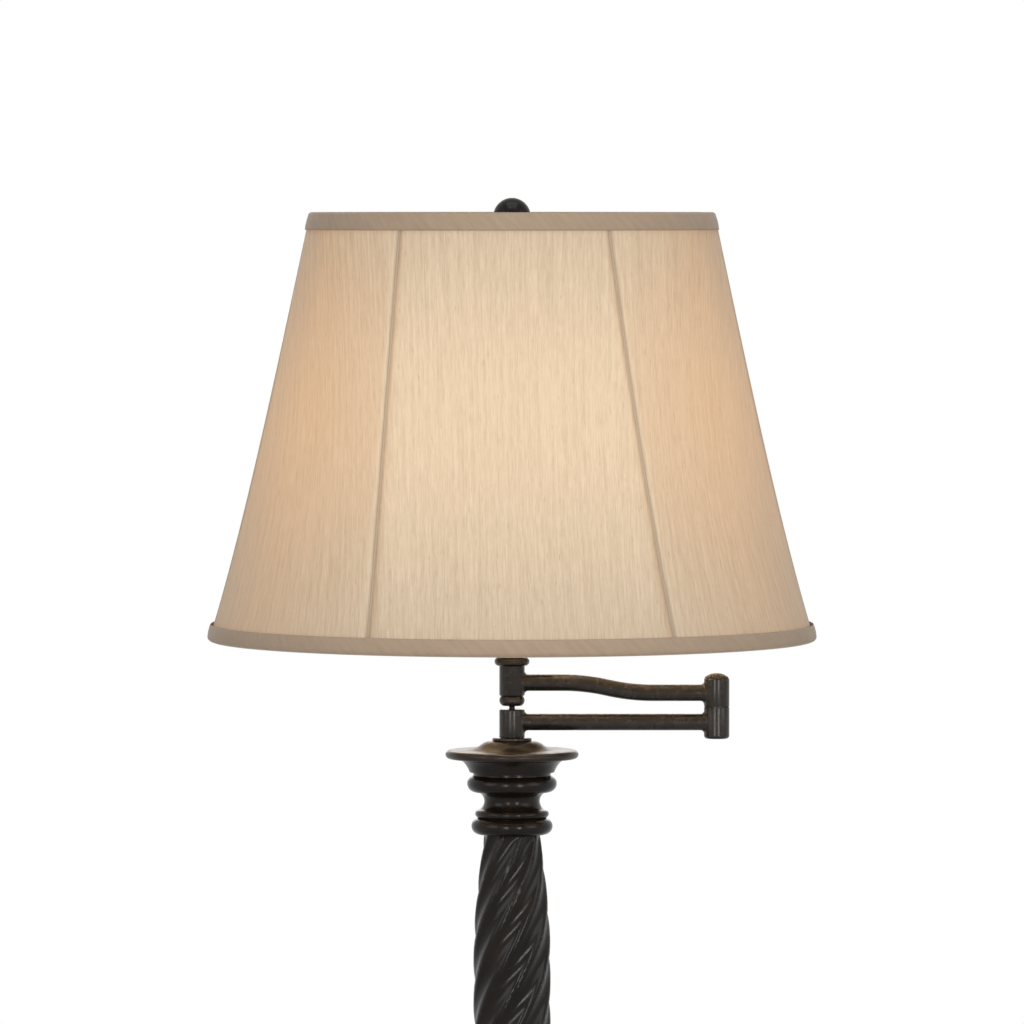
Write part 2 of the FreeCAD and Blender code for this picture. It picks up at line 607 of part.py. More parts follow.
def drill(body, name, radius, rise, side):
    """Round hole from the body's axis out to one side."""
    cut_sideways(body, name, side, rise, lambda sketch: circles(sketch, "0", "0", (radius,)))


def window(body, name, half, rise, side):
    """Square hole from the body's axis out to one side."""
    corners = (("0 - " + half, "0 - " + half), (half, "0 - " + half),
               (half, half), ("0 - " + half, half))
    cut_sideways(body, name, side, rise, lambda sketch: outline(sketch, corners))


def tube_seam(shape, radius, tube, rise):
    """Edges where a round boss along X meets an upright cylinder."""
    names = []
    for number, edge in enumerate(shape.Edges, 1):
        span = edge.LastParameter - edge.FirstParameter
        spots = [edge.valueAt(edge.FirstParameter + span * share) for share in (0.0, 0.35, 0.7, 1.0)]
        if all(abs(math.hypot(spot.x, spot.y) - radius) < 1e-3
               and abs(math.hypot(spot.y, spot.z - rise) - tube) < 1e-3 for spot in spots):
            names.append("Edge%d" % number)
    return names


def knuckle(label, outside, inside, arm_rise, level, across="0", turn=None):
    """Upright knuckle with a filleted boss, a hollow core and a spigot for its tube."""
    body = doc.addObject("PartDesign::Body", label)
    revolve(body, label + "_turning", outside)
    boss_sketch = new_sketch(body, label + "_boss_outline", "YZ_Plane", arm_rise)
    circles(boss_sketch, "0", "0", ("arm_radius",))
    boss = body.newObject("PartDesign::Pad", label + "_boss")
    boss.Profile = boss_sketch
    boss.setExpression("Length", "sizes.boss_reach")
    doc.recompute()
    seam = tube_seam(boss.Shape, value("knuckle_radius"), value("arm_radius"), value(arm_rise))
    fillet = body.newObject("PartDesign::Fillet", label + "_boss_fillet")
    fillet.Base = (boss, seam)
    fillet.setExpression("Radius", "sizes.boss_fillet")
    spigot_sketch = new_sketch(body, label + "_spigot_outline", "YZ_Plane", arm_rise)
    circles(spigot_sketch, "0", "0", ("spigot_radius",))
    spigot = body.newObject("PartDesign::Pad", label + "_spigot")
    spigot.Profile = spigot_sketch
    spigot.setExpression("Length", "sizes.spigot_end")
    revolve(body, label + "_core", inside, "Groove")
    drill(body, label + "_wireway", "wire_radius", arm_rise, "+x")
    return keep(body, label, level, across, turn)


def cylinder(name, radius, height, level="0"):
    """Upright cylinder on the Z axis."""
    rod = doc.addObject("Part::Cylinder", name)
    rod.setExpression("Radius", linked(radius))
    rod.setExpression("Height", linked(height))
    if level != "0":
        rod.setExpression("Placement.Base.z", linked(level))
    return rod


def hexagon_nut(label, bore, level):
    """Hexagon nut round the pipe."""
    blank = doc.addObject("Part::Prism", label + "_blank")
    blank.Polygon = 6
    blank.setExpression("Circumradius", "sizes.nut_flat_radius")
    blank.setExpression("Height", "sizes.nut_height")
    nut = doc.addObject("Part::Cut", label)
    nut.Base = blank
    nut.Tool = cylinder(label + "_thread", bore, "nut_height")
    return keep(nut, label, level)


# ---------------------------------------------------------------- base

keep(cylinder("base_felt_pad", "base_radius - felt_inset", "felt_thickness"), "base_felt_pad")

base_shell = doc.addObject("PartDesign::Body", "base_shell")
revolve(base_shell, "base_shell_turning", (
    ("cavity_radius", "0"),
    ("base_radius - rim_round", "0", "rim_bulge"),
    ("base_radius", "rim_round"),
    ("base_radius", "rim_height - rim_round", "rim_bulge"),
    ("base_radius - rim_round", "rim_height"),
    ("base_step_radius", "rim_height"),
    ("base_step_radius", "base_step_level", "base_ogee_bulge"),
    ("base_ogee_radius", "base_ogee_level", "0 - base_hollow_depth"),
    ("base_bead_radius", "base_bead_level", "base_bead_bulge"),
    ("base_bead_radius", "base_bead_level + base_bead_height", "0 - base_neck_depth"),
    ("base_neck_radius", "base_height"),
    ("casting_bore", "base_height"),
    ("casting_bore", "cavity_height"),
    ("cavity_top_radius", "cavity_height"),
    ("cavity_radius", "cavity_wall_height"),
))
drill(base_shell, "bushing_hole", "bushing_barrel + seat_lap", "bushing_level", "+y")
keep(base_shell, "base_shell", "shell_bottom")

base_weight = doc.addObject("PartDesign::Body", "base_weight")
revolve(base_weight, "base_weight_casting", (
    ("recess_radius", "0"),
    ("cavity_radius - wall_fit", "0"),
    ("cavity_radius - wall_fit", "cavity_wall_height - wall_fit"),
    ("cavity_top_radius - wall_fit", "cavity_height"),
    ("casting_bore", "cavity_height"),
    ("casting_bore", "recess_height"),
    ("recess_radius", "recess_height"),
))
cut_sideways(base_weight, "cord_channel", "+y", "0", lambda sketch: outline(sketch, (
    ("0 - cord_channel_half", "0"),
    ("cord_channel_half", "0"),
    ("cord_channel_half", "cord_channel_height"),
    ("0 - cord_channel_half", "cord_channel_height"),
)))
keep(base_weight, "base_weight", "shell_bottom")

turned("base_washer", (
    ("casting_bore", "0"),
    ("base_washer_radius", "0"),
    ("base_washer_radius", "base_washer_thickness"),
    ("casting_bore", "base_washer_thickness"),
), "recess_ceiling - base_washer_thickness")
hexagon_nut("base_nut", "pipe_radius", "recess_ceiling - base_washer_thickness - nut_height")

cord_bushing = turned("cord_bushing", (
    ("bushing_bore", "0 - bushing_lip_thickness"),
    ("bushing_lip", "0 - bushing_lip_thickness"),
    ("bushing_lip", "0"),
    ("bushing_barrel", "0"),
    ("bushing_barrel", "bushing_length"),
    ("bushing_flange", "bushing_length"),
    ("bushing_flange", "bushing_length + bushing_flange_thickness"),
    ("bushing_bore", "bushing_length + bushing_flange_thickness"),
), "shell_bottom + bushing_level", turn=FreeCAD.Rotation(V(1, 0, 0), -90))
cord_bushing.setExpression("Placement.Base.y", "sizes.bushing_back")

# ---------------------------------------------------------------- column


def capital(label, inside, level, turn=None):
    """Turned capital: rings, a hollow neck and a flare, from its small end upwards."""
    ring_top = "torus_height + bead_height"
    step = ring_top + " + scotia_height"
    groove = step + " + astragal_height"
    return turned(label, (
        ("casting_bore", "0"),
        ("torus_root", "0", "torus_bulge"),
        ("torus_root", "torus_height"),
        ("bead_root", "torus_height", "bead_bulge"),
        ("bead_root", ring_top, "0 - scotia_depth"),
        ("step_radius", step),
        ("astragal_root", step, "astragal_bulge"),
        ("astragal_root", groove),
        ("astragal_root", groove + " + capital_groove_height"),
        ("cove_radius", groove + " + capital_groove_height", "0 - cove_depth"),
        ("capital_rim", "capital_height"),
    ) + inside, level, turn=turn)


capital("base_collar", (("casting_bore", "capital_height"),), "base_collar_top",
        FreeCAD.Rotation(V(1, 0, 0), 180))
capital("capital", (
    ("nut_room_radius", "capital_height"),
    ("nut_room_radius", "capital_height - nut_room_depth"),
    ("casting_bore", "capital_height - nut_room_depth"),
), "upper_twist_top")

turned("middle_collar", (
    ("coupling_radius + wall_fit", "0"),
    ("torus_root", "0", "torus_bulge"),
    ("torus_root", "torus_height"),
    ("middle_bead_root", "torus_height", "middle_bead_bulge"),
    ("middle_bead_root", "middle_collar_height - torus_height"),
    ("torus_root", "middle_collar_height - torus_height", "torus_bulge"),
    ("torus_root", "middle_collar_height"),
    ("coupling_radius + wall_fit", "middle_collar_height"),
), "lower_twist_top")


def twist_radius(height):
    """Radius of the lands: narrow at both ends and full along the middle."""
    length = value("twist_swell_length")
    near = min(height, value("twist_height") - height, length)
    return value("twist_end_radius") + value("twist_swell") * math.sin(math.pi / 2 * near / length)


def flute_share(height):
    """Depth of the flutes, which end in round tops: 0 at the ends, 1 along the length."""
    runout = value("flute_runout")
    near = min(height, value("twist_height") - height, runout) / runout
    return math.sqrt(1 - (1 - near) ** 2)


def twist_section(height):
    """Closed wire with a land arc and a hollow flute for every ridge."""
    radius = twist_radius(height)
    floor = radius - value("flute_depth") * flute_share(height)
    ridge = 360.0 / LANDS
    land = ridge * value("land_share")
    start = value("twist_rate") * height

    def spot(reach, angle):
        """Point of the section."""
        turn = math.radians(start + angle)
        return V(reach * math.cos(turn), reach * math.sin(turn), height)

    edges = []
    for number in range(LANDS):
        first = number * ridge
        edges.append(Part.Arc(spot(radius, first), spot(radius, first + land / 2),
                              spot(radius, first + land)).toShape())
        edges.append(Part.Arc(spot(radius, first + land), spot(floor, first + (land + ridge) / 2),
                              spot(radius, first + ridge)).toShape())
    return Part.Wire(edges)


def twisted_casting(label, level):
    """Twisted column casting with a bore for the pipe."""
    height = value("twist_height")
    runout = value("flute_runout")
    span = height - 2 * runout
    middle_steps = math.ceil(span * value("twist_rate") / value("loft_step"))
    ends = [runout * share for share in RUNOUT_STEPS]
    levels = ends + [runout + span * step / middle_steps for step in range(middle_steps + 1)]
    levels += [height - low for low in reversed(ends)]
    blank = Part.makeLoft([twist_section(up) for up in levels], True, False)
    bore = Part.makeCylinder(value("casting_bore"), height)
    piece = doc.addObject("Part::Feature", label)
    piece.Shape = blank.cut(bore)
    return keep(piece, label, level)


twisted_casting("lower_twist_column", "base_collar_top")
twisted_casting("upper_twist_column", "middle_collar_top")


def ring_outline(bore, radius, height):
    """Plain tube as an outline."""
    return ((bore, "0"), (radius, "0"), (radius, height), (bore, height))


turned("lower_pipe", ring_outline("pipe_bore", "pipe_radius",
                                  "middle_level - shell_bottom - pipe_foot"),
       "shell_bottom + pipe_foot")
turned("upper_pipe", ring_outline("pipe_bore", "pipe_radius",
                                  "post_bottom + skirt_engagement - middle_level"),
       "middle_level")
turned("pipe_coupling", ring_outline("pipe_radius", "coupling_radius", "coupling_height"),
       "coupling_bottom")
hexagon_nut("column_top_nut", "pipe_radius", "capital_top - nut_room_depth")

turned("bobeche_disc", (
    ("skirt_radius + wall_fit", "0"),
    ("astragal_root", "0"),
    ("disc_radius", "disc_rim_bottom", "disc_rim_bulge"),
    ("disc_radius", "disc_rim_bottom + disc_rim_height"),
    ("disc_flat_radius", "disc_flat_level", "0 - disc_hollow_depth"),
    ("disc_bell_radius", "disc_bell_level", "disc_bell_bulge"),
    ("disc_shoulder_radius", "disc_height"),
    ("skirt_radius + wall_fit", "disc_height"),
), "capital_top")
turned("check_ring", (
    ("journal_bore", "0"),
    ("check_ring_radius", "0", "check_ring_bulge"),
    ("check_ring_radius", "check_ring_height"),
    ("journal_bore", "check_ring_height"),
), "disc_top")

swivel_post = turned("swivel_post", (
    ("pipe_radius", "0"),
    ("skirt_radius", "0"),
    ("skirt_radius", "post_skirt"),
    ("journal_radius", "post_skirt"),
    ("journal_radius", "post_height"),
    ("screw_radius", "post_height"),
    ("screw_radius", "post_height - screw_length"),
    ("wire_radius", "post_height - screw_length"),
    ("wire_radius", "skirt_engagement"),
    ("pipe_radius", "skirt_engagement"),
), "post_bottom")
window(swivel_post, "post_wire_window", "window_half", "post_window", "+x")

turned("swivel_screw", (
    ("0", "0"),
    ("screw_radius", "0"),
    ("screw_radius", "screw_shank"),
    ("screw_head_radius", "screw_shank"),
    ("screw_head_radius", "screw_shank + screw_head_height"),
    ("screw_button_radius", "screw_shank + screw_head_height", "0 - screw_button_waist"),
    ("screw_button_radius", "screw_shank + screw_head_height + screw_button_height"),
    ("0", "screw_shank + screw_head_height + screw_button_height"),
), "screw_bottom")

# ---------------------------------------------------------------- lower arm

knuckle("swivel_knuckle", (
    ("0", "0"),
    ("knuckle_radius", "0"),
    ("knuckle_radius", "swivel_height - knuckle_edge", "knuckle_edge_bulge"),
    ("knuckle_radius - knuckle_edge", "swivel_height"),
    ("0", "swivel_height"),
), (
    ("0", "0 - overshoot"),
    ("journal_bore", "0 - overshoot"),
    ("journal_bore", "web"),
    ("room_radius", "web"),
    ("room_radius", "swivel_arm_level + room_half"),
    ("journal_bore", "swivel_arm_level + room_half"),
    ("journal_bore", "journal_room"),
    ("screw_radius + sliding_gap", "journal_room"),
    ("screw_radius + sliding_gap", "screw_seat"),
    ("screw_head_radius + sliding_gap", "screw_seat"),
    ("screw_head_radius + sliding_gap", "swivel_height + overshoot"),
    ("0", "swivel_height + overshoot"),
), "swivel_arm_level", "swivel_bottom")


def whole_way(sketch):
    """A sketch with all its edges, as the path of a sweep."""
    return sketch, ["Edge%d" % (number + 1) for number in range(len(sketch.Shape.Edges))]


def arm_tube(label, way, level):
    """Round tube along a way (across, up[, bulge]) that starts at the inner boss."""
    body = doc.addObject("PartDesign::Body", label)
    spine = new_sketch(body, label + "_way")
    outline(spine, way, closed=False)
    section = new_sketch(body, label + "_section", "YZ_Plane", way[0][1], "boss_reach")
    circles(section, "0", "0", ("arm_radius", "arm_radius - arm_wall"))
    doc.recompute()
    tube = body.newObject("PartDesign::AdditivePipe", label + "_sweep")
    tube.Profile = section
    tube.Spine = whole_way(spine)
    return keep(body, label, level)


BACKWARDS = FreeCAD.Rotation(V(0, 0, 1), 180)

arm_tube("lower_arm_tube", (("boss_reach", "0"), ("elbow_boss", "0")), "lower_arm_axis")

knuckle("lower_elbow_knuckle", (
    ("0", "0"),
    ("knuckle_radius - elbow_edge", "0", "elbow_edge_bulge"),
    ("knuckle_radius", "elbow_edge"),
    ("knuckle_radius", "elbow_height"),
    ("0", "elbow_height"),
), (
    ("0", "web"),
    ("journal_radius + seat_lap", "web"),
    ("journal_radius + seat_lap", "elbow_arm_level - room_half"),
    ("room_radius", "elbow_arm_level - room_half"),
    ("room_radius", "elbow_arm_level + room_half"),
    ("journal_radius + seat_lap", "elbow_arm_level + room_half"),
    ("journal_radius + seat_lap", "elbow_height + overshoot"),
    ("0", "elbow_height + overshoot"),
), "elbow_arm_level", "elbow_bottom", "arm_pitch", BACKWARDS)

elbow_bolt = turned("elbow_bolt", (
    ("0", "0"),
    ("journal_radius", "0"),
    ("journal_radius", "bolt_height"),
    ("wire_radius", "bolt_height"),
    ("wire_radius", "web"),
    ("0", "web"),
), "bolt_bottom", "arm_pitch")
window(elbow_bolt, "lower_wire_window", "window_half", "lower_arm_axis - bolt_bottom", "-x")
window(elbow_bolt, "upper_wire_window", "window_half", "outer_arm_axis - bolt_bottom", "-x")
turned("elbow_washer", ring_outline("journal_bore", "knuckle_radius - wall_fit",
                                    "elbow_washer_thickness"), "elbow_top", "arm_pitch")
turned("elbow_nut", ring_outline("journal_radius", "elbow_nut_radius", "elbow_nut_height"),
       "elbow_nut_bottom", "arm_pitch")

# ---------------------------------------------------------------- upper arm

knuckle("upper_elbow_knuckle", (
    ("0", "0"),
    ("knuckle_radius", "0"),
    ("knuckle_radius", "upper_elbow_height - knuckle_edge", "knuckle_edge_bulge"),
    ("knuckle_radius - knuckle_edge", "upper_elbow_height"),
    ("0", "upper_elbow_height"),
), (
    ("0", "0 - overshoot"),
    ("journal_bore", "0 - overshoot"),
    ("journal_bore", "upper_elbow_arm_level - room_half"),
    ("room_radius", "upper_elbow_arm_level - room_half"),
    ("room_radius", "upper_elbow_arm_level + room_half"),
    ("journal_bore", "upper_elbow_arm_level + room_half"),
    ("journal_bore", "nut_shelf"),
    ("elbow_nut_radius + sliding_gap", "nut_shelf"),
    ("elbow_nut_radius + sliding_gap", "upper_elbow_height + overshoot"),
    ("0", "upper_elbow_height + overshoot"),
), "upper_elbow_arm_level", "upper_elbow_bottom", "arm_pitch", BACKWARDS)

turned("elbow_cap", (
    ("0", "0 - elbow_plug_depth"),
    ("elbow_nut_radius + sliding_gap - seat_lap", "0 - elbow_plug_depth"),
    ("elbow_nut_radius + sliding_gap - seat_lap", "0"),
    ("elbow_cap_radius", "0"),
    ("elbow_cap_radius", "elbow_cap_edge", "elbow_dome_bulge"),
    ("0", "elbow_cap_height"),
), "upper_elbow_top", "arm_pitch")

arm_tube("upper_arm_tube", (
    ("boss_reach", "arm_drop"),
    ("bend_start", "arm_drop", "0 - bend_bulge"),
    ("bend_middle", "bend_half_drop", "bend_bulge"),
    ("bend_start + bend_length", "0"),
    ("elbow_boss", "0"),
), "outer_arm_axis")

knuckle("socket_cup_knuckle", (
    ("0", "0"),
    ("cup_foot_radius", "0"),
    ("knuckle_radius", "cup_taper_height"),
    ("knuckle_radius", "cup_body_height"),
    ("cup_lip_root", "cup_body_height", "cup_lip_bulge"),
    ("cup_lip_root", "cup_body_height + cup_lip_height"),
    ("0", "cup_body_height + cup_lip_height"),
), (
    ("0", "0 - overshoot"),
    ("nipple_radius + seat_lap", "0 - overshoot"),
    ("nipple_radius + seat_lap", "web"),
    ("room_radius", "cup_arm_level - room_half"),
    ("room_radius", "cup_arm_level + room_half"),
    ("nipple_radius + seat_lap", "cup_arm_level + room_half"),
    ("nipple_radius + seat_lap", "cup_floor"),
    ("room_radius", "cup_floor"),
    ("room_radius", "cup_body_height"),
    ("cup_bore", "cup_body_height + cup_flare"),
    ("cup_bore", "cup_body_height + cup_lip_height + overshoot"),
    ("0", "cup_body_height + cup_lip_height + overshoot"),
), "cup_arm_level", "cup_bottom")

turned("knuckle_bead_nut", (
    ("0", "0"),
    ("bead_nut_foot", "0", "bead_nut_bulge"),
    ("bead_nut_root", "bead_nut_height"),
    ("nipple_radius", "bead_nut_height"),
    ("nipple_radius", "bead_nut_floor"),
    ("0", "bead_nut_floor"),
), "bead_nut_bottom")

# ---------------------------------------------------------------- harp and socket

nipple = turned("socket_nipple", ring_outline("nipple_bore", "nipple_radius", "nipple_height"),
                "bead_nut_bottom + bead_nut_floor")
window(nipple, "nipple_wire_window", "nipple_window_half", "nipple_window", "+x")
turned("cup_spacer", ring_outline("nipple_radius + seat_lap", "spacer_radius", "spacer_height"),
       "cup_bottom + cup_floor")

saddle_strip = doc.addObject("Part::Box", "saddle_strip")
saddle_strip.setExpression("Length", "2 * (sizes.harp_foot + sizes.sleeve_radius)")
saddle_strip.setExpression("Width", "2 * sizes.saddle_half_width")
saddle_strip.setExpression("Height", "sizes.saddle_thickness")
saddle_strip.setExpression("Placement.Base.x", "-sizes.harp_foot - sizes.sleeve_radius")
saddle_strip.setExpression("Placement.Base.y", "-sizes.saddle_half_width")
prongs = []
for side, place in (("left", "0 - harp_foot"), ("right", "harp_foot")):
    prong = cylinder("saddle_prong_" + side, "harp_wire", "saddle_thickness + harp_leg_start")
    prong.setExpression("Placement.Base.x", linked(place))
    prongs.append(prong)
saddle_blank = doc.addObject("Part::MultiFuse", "saddle_blank")
saddle_blank.Shapes = [saddle_strip] + prongs
saddle = doc.addObject("Part::Cut", "harp_saddle")
saddle.Base = saddle_blank
saddle.Tool = cylinder("saddle_hole", "nipple_radius + seat_lap", "saddle_thickness")
keep(saddle, "harp_saddle", "saddle_bottom")

harp = doc.addObject("PartDesign::Body", "harp")
harp_way = new_sketch(harp, "harp_way")
outline(harp_way, (
    ("0 - harp_foot", "harp_leg_start"),
    ("0 - harp_foot", "harp_leg_height", "harp_flare_bulge"),
    ("0 - harp_middle", "harp_flare_middle", "0 - harp_flare_bulge"),
    ("0 - harp_half_width", "harp_flare_top"),
    ("0 - harp_half_width", "harp_shoulder", "0 - harp_crown_bulge"),
    ("0", "harp_crown", "0 - harp_crown_bulge"),
    ("harp_half_width", "harp_shoulder"),
    ("harp_half_width", "harp_flare_top", "0 - harp_flare_bulge"),
    ("harp_middle", "harp_flare_middle", "harp_flare_bulge"),
    ("harp_foot", "harp_leg_height"),
    ("harp_foot", "harp_leg_start"),
), closed=False)
harp_section = new_sketch(harp, "harp_section", "XY_Plane", "0", "harp_leg_start")
circles(harp_section, "0 - harp_foot", "0", ("harp_wire",))
doc.recompute()
harp_sweep = harp.newObject("PartDesign::AdditivePipe", "harp_sweep")
harp_sweep.Profile = harp_section
harp_sweep.Spine = whole_way(harp_way)
keep(harp, "harp", "saddle_top")

sleeves = []
for side, place in (("left", "0 - harp_foot"), ("right", "harp_foot")):
    sleeve = doc.addObject("Part::Cut", "harp_sleeve_" + side)
    sleeve.Base = cylinder("sleeve_blank_" + side, "sleeve_radius", "sleeve_height")
    sleeve.Tool = cylinder("sleeve_bore_" + side, "harp_wire + seat_lap", "sleeve_height")
    sleeve.setExpression("Placement.Base.x", linked(place))
    sleeves.append(sleeve)
sleeve_pair = doc.addObject("Part::Compound", "harp_sleeves")
sleeve_pair.Links = sleeves
keep(sleeve_pair, "harp_sleeves", "saddle_top")

harp_stud = turned("harp_stud", (
    ("0", "0 - harp_stud_drop"),
    ("harp_stud_collar", "0 - harp_stud_drop"),
    ("harp_stud_collar", "0"),
    ("harp_stud_radius", "0"),
    ("harp_stud_radius", "harp_stud_reach"),
    ("0", "harp_stud_reach"),
), "shade_seat")
for name, side in (("right_wire_hole", "+x"), ("left_wire_hole", "-x")):
    drill(harp_stud, name, "harp_wire + wall_fit", "0 - harp_wire_drop", side)

turned("socket_cap", (
    ("nipple_radius + seat_lap", "0"),
    ("socket_cap_hub", "0"),
    ("socket_cap_hub", "socket_cap_hub_height", "socket_cap_bulge"),
    ("socket_radius", "socket_cap_shoulder"),
    ("socket_radius", "socket_cap_height"),
    ("socket_radius - socket_wall", "socket_cap_height"),
    ("socket_radius - socket_wall", "socket_cap_shoulder + socket_wall", "0 - socket_cap_bulge"),
    ("socket_cap_hub", "socket_cap_hub_height + socket_wall"),
    ("nipple_radius + seat_lap", "socket_cap_hub_height + socket_wall"),
), "saddle_top")
socket_shell = turned("socket_shell", (
    ("socket_radius - socket_wall", "0"),
    ("socket_radius", "0"),
    ("socket_radius", "socket_shell_height - socket_mouth_height"),
    ("socket_mouth", "socket_shell_height"),
    ("socket_mouth - socket_wall", "socket_shell_height"),
    ("socket_radius - socket_wall", "socket_shell_height - socket_mouth_height"),
), "shell_seat")
socket_liner = turned("socket_liner", ring_outline("liner_radius - liner_wall", "liner_radius",
                                                   "liner_height"), "shell_seat")
socket_body = turned("socket_body", (
    ("nipple_bore", "0"),
    ("body_radius", "0"),
    ("body_radius", "socket_body_height"),
    ("0", "socket_body_height"),
    ("0", "key_level + key_spindle_radius + web"),
    ("nipple_bore", "key_level + key_spindle_radius + web"),
), "shell_seat")
drill(socket_shell, "key_hole_in_shell", "key_spindle_radius + sliding_gap", "key_level", "-y")
drill(socket_liner, "key_hole_in_liner", "key_spindle_radius + sliding_gap", "key_level", "-y")
drill(socket_body, "key_hole_in_body", "key_spindle_radius + running_fit", "key_level", "-y")
turned("socket_screw_shell", (
    ("thread_shell_hole", "0"),
    ("thread_shell_radius", "0"),
    ("thread_shell_radius", "thread_shell_height"),
    ("thread_shell_radius - thread_shell_wall", "thread_shell_height"),
    ("thread_shell_radius - thread_shell_wall", "thread_shell_wall"),
    ("thread_shell_hole", "thread_shell_wall"),
), "thread_shell_bottom")
keep(cylinder("socket_contact", "contact_radius", "contact_height"), "socket_contact",
     "thread_shell_bottom")

OUT_OF_SOCKET = FreeCAD.Rotation(V(1, 0, 0), 90)
turned("switch_spindle", (
    ("0", "key_spindle_start"),
    ("key_spindle_radius", "key_spindle_start"),
    ("key_spindle_radius", "key_end - web"),
    ("0", "key_end - web"),
), "key_axis", turn=OUT_OF_SOCKET)
switch_key = doc.addObject("PartDesign::Body", "switch_key")
revolve(switch_key, "key_stem", (
    ("0", "key_end - web"),
    ("key_spindle_radius", "key_end - web"),
    ("key_spindle_radius", "key_shoulder"),
    ("key_stem_radius", "key_shoulder"),
    ("key_stem_radius", "key_end"),
    ("0", "key_end"),
))
wing_outline = new_sketch(switch_key, "key_wing_outline")
outline(wing_outline, (
    ("0 - key_wing_half", "key_end"),
    ("key_wing_half", "key_end", "key_wing_bulge"),
    ("key_wing_half", "key_end + key_wing_depth"),
    ("0 - key_wing_half", "key_end + key_wing_depth", "key_wing_bulge"),
))
wings = switch_key.newObject("PartDesign::Pad", "key_wings")
wings.Profile = wing_outline
wings.SideType = "Symmetric"
wings.setExpression("Length", "sizes.key_wing_thickness")
keep(switch_key, "switch_key", "key_axis", turn=OUT_OF_SOCKET)

turned("bulb_cap", (
    ("0", "0"),
    ("bulb_tip_radius", "0"),
    ("bulb_cap_radius", "bulb_tip_height"),
    ("bulb_cap_radius", "bulb_cap_height"),
    ("0", "bulb_cap_height"),
), "bulb_cap_bottom")
turned("bulb_glass", (
    ("bulb_neck_radius - bulb_wall", "0"),
    ("bulb_neck_radius", "0", "0 - bulb_neck_depth"),
    ("bulb_shoulder_radius", "bulb_shoulder_level", "bulb_shoulder_bulge"),
    ("bulb_radius", "bulb_widest_level", "bulb_crown_bulge"),
    ("0", "bulb_height"),
    ("0", "bulb_height - bulb_wall", "0 - bulb_inner_bulge"),
    ("bulb_radius - bulb_wall", "bulb_widest_level", "0 - bulb_shoulder_bulge"),
    ("bulb_shoulder_radius - bulb_wall", "bulb_shoulder_level", "bulb_neck_depth"),
), "bulb_neck")

# ---------------------------------------------------------------- shade


def rib_radius_at(level):
    """Outer radius of the fabric over a rib: a straight slope that bows in and flares below."""
    low, high = value("panel_bottom"), value("panel_top")
    wide, narrow = value("panel_bottom_radius"), value("panel_top_radius")
    share = (level - low) / (high - low)
    bow = value("shade_sag") * math.sin(math.pi * share ** value("shade_flare"))
    return wide + (narrow - wide) * share - bow


def rib_azimuth_at(number, level):
    """Azimuth of a rib, in degrees from -Y towards +X: the frame leans a little round its axis."""
    low, high = value("panel_bottom"), value("panel_top")
    lean = value("shade_twist") * (level - low) / (high - low)
    return value("shade_turn") + number * 360.0 / PANELS - lean


def around(radius, azimuth, level):
    """Point at a radius and an azimuth from -Y towards +X."""
    turn = math.radians(azimuth)
    return V(radius * math.sin(turn), -radius * math.cos(turn), level)


def panel_section(number, level):
    """Section of one panel: a shallow arc of fabric from rib to rib."""
    low, high = value("panel_bottom"), value("panel_top")
    share = (level - low) / (high - low)
    flat = value("panel_flatness") * math.sin(math.pi * share)
    outer = rib_radius_at(level)
    inner = outer - value("panel_thickness")
    first = rib_azimuth_at(number, level) + value("seam_gap")
    last = rib_azimuth_at(number + 1, level) - value("seam_gap")
    half = math.cos(math.radians(180.0 / PANELS))
    middle = (first + last) / 2
    crown = outer * (half + (1 - flat) * (1 - half))
    edges = [
        Part.Arc(around(outer, first, level), around(crown, middle, level),
                 around(outer, last, level)).toShape(),
        Part.makeLine(around(outer, last, level), around(inner, last, level)),
        Part.Arc(around(inner, last, level), around(crown - outer + inner, middle, level),
                 around(inner, first, level)).toShape(),
        Part.makeLine(around(inner, first, level), around(outer, first, level)),
    ]
    return Part.Wire(edges)


def steps(low, high, count):
    """Evenly spaced levels from low to high."""
    return [low + (high - low) * index / count for index in range(count + 1)]


for number in range(PANELS):
    panel = doc.addObject("Part::Feature", "shade_panel_%d" % (number + 1))
    levels = steps(value("panel_bottom"), value("panel_top"), PANEL_STEPS)
    panel.Shape = Part.makeLoft([panel_section(number, level) for level in levels], True, False)
    keep(panel, "shade_panel_%d" % (number + 1))


def rib_wire(number):
    """One rib from ring to ring, a loft through circles along the panels' edges."""
    low = value("bottom_ring_level") + value("ring_radius")
    high = value("top_ring_level") - value("ring_radius")
    inset = value("panel_thickness") + value("rib_radius") + value("sliding_gap")
    sections = []
    for level in steps(low, high, PANEL_STEPS):
        inside = min(max(level, value("panel_bottom")), value("panel_top"))
        spot = around(rib_radius_at(inside) - inset, rib_azimuth_at(number, level), level)
        circle = Part.Circle(spot, V(0, 0, 1), value("rib_radius"))
        sections.append(Part.Wire(circle.toShape()))
    return Part.makeLoft(sections, True, True)


ribs = doc.addObject("Part::Feature", "shade_ribs")
ribs.Shape = Part.makeCompound([rib_wire(number) for number in range(PANELS)])
keep(ribs, "shade_ribs")

for place in ("top", "bottom"):
    ring = doc.addObject("Part::Torus", "shade_%s_ring" % place)
    ring.setExpression("Radius1", "sizes.%s_ring_radius" % place)
    ring.setExpression("Radius2", "sizes.ring_radius")
    keep(ring, "shade_%s_ring" % place, "%s_ring_level" % place)
for place, level in (("top", "shade_top - band_height"), ("bottom", "shade_hem")):
    edge = "shade_%s_radius" % place
    turned("shade_%s_band" % place, (
        (edge + " - band_thickness", "0"),
        (edge, "0", "band_bulge"),
        (edge + " - band_lean", "band_height"),
        (edge + " - band_lean - band_thickness", "band_height"),
    ), level)

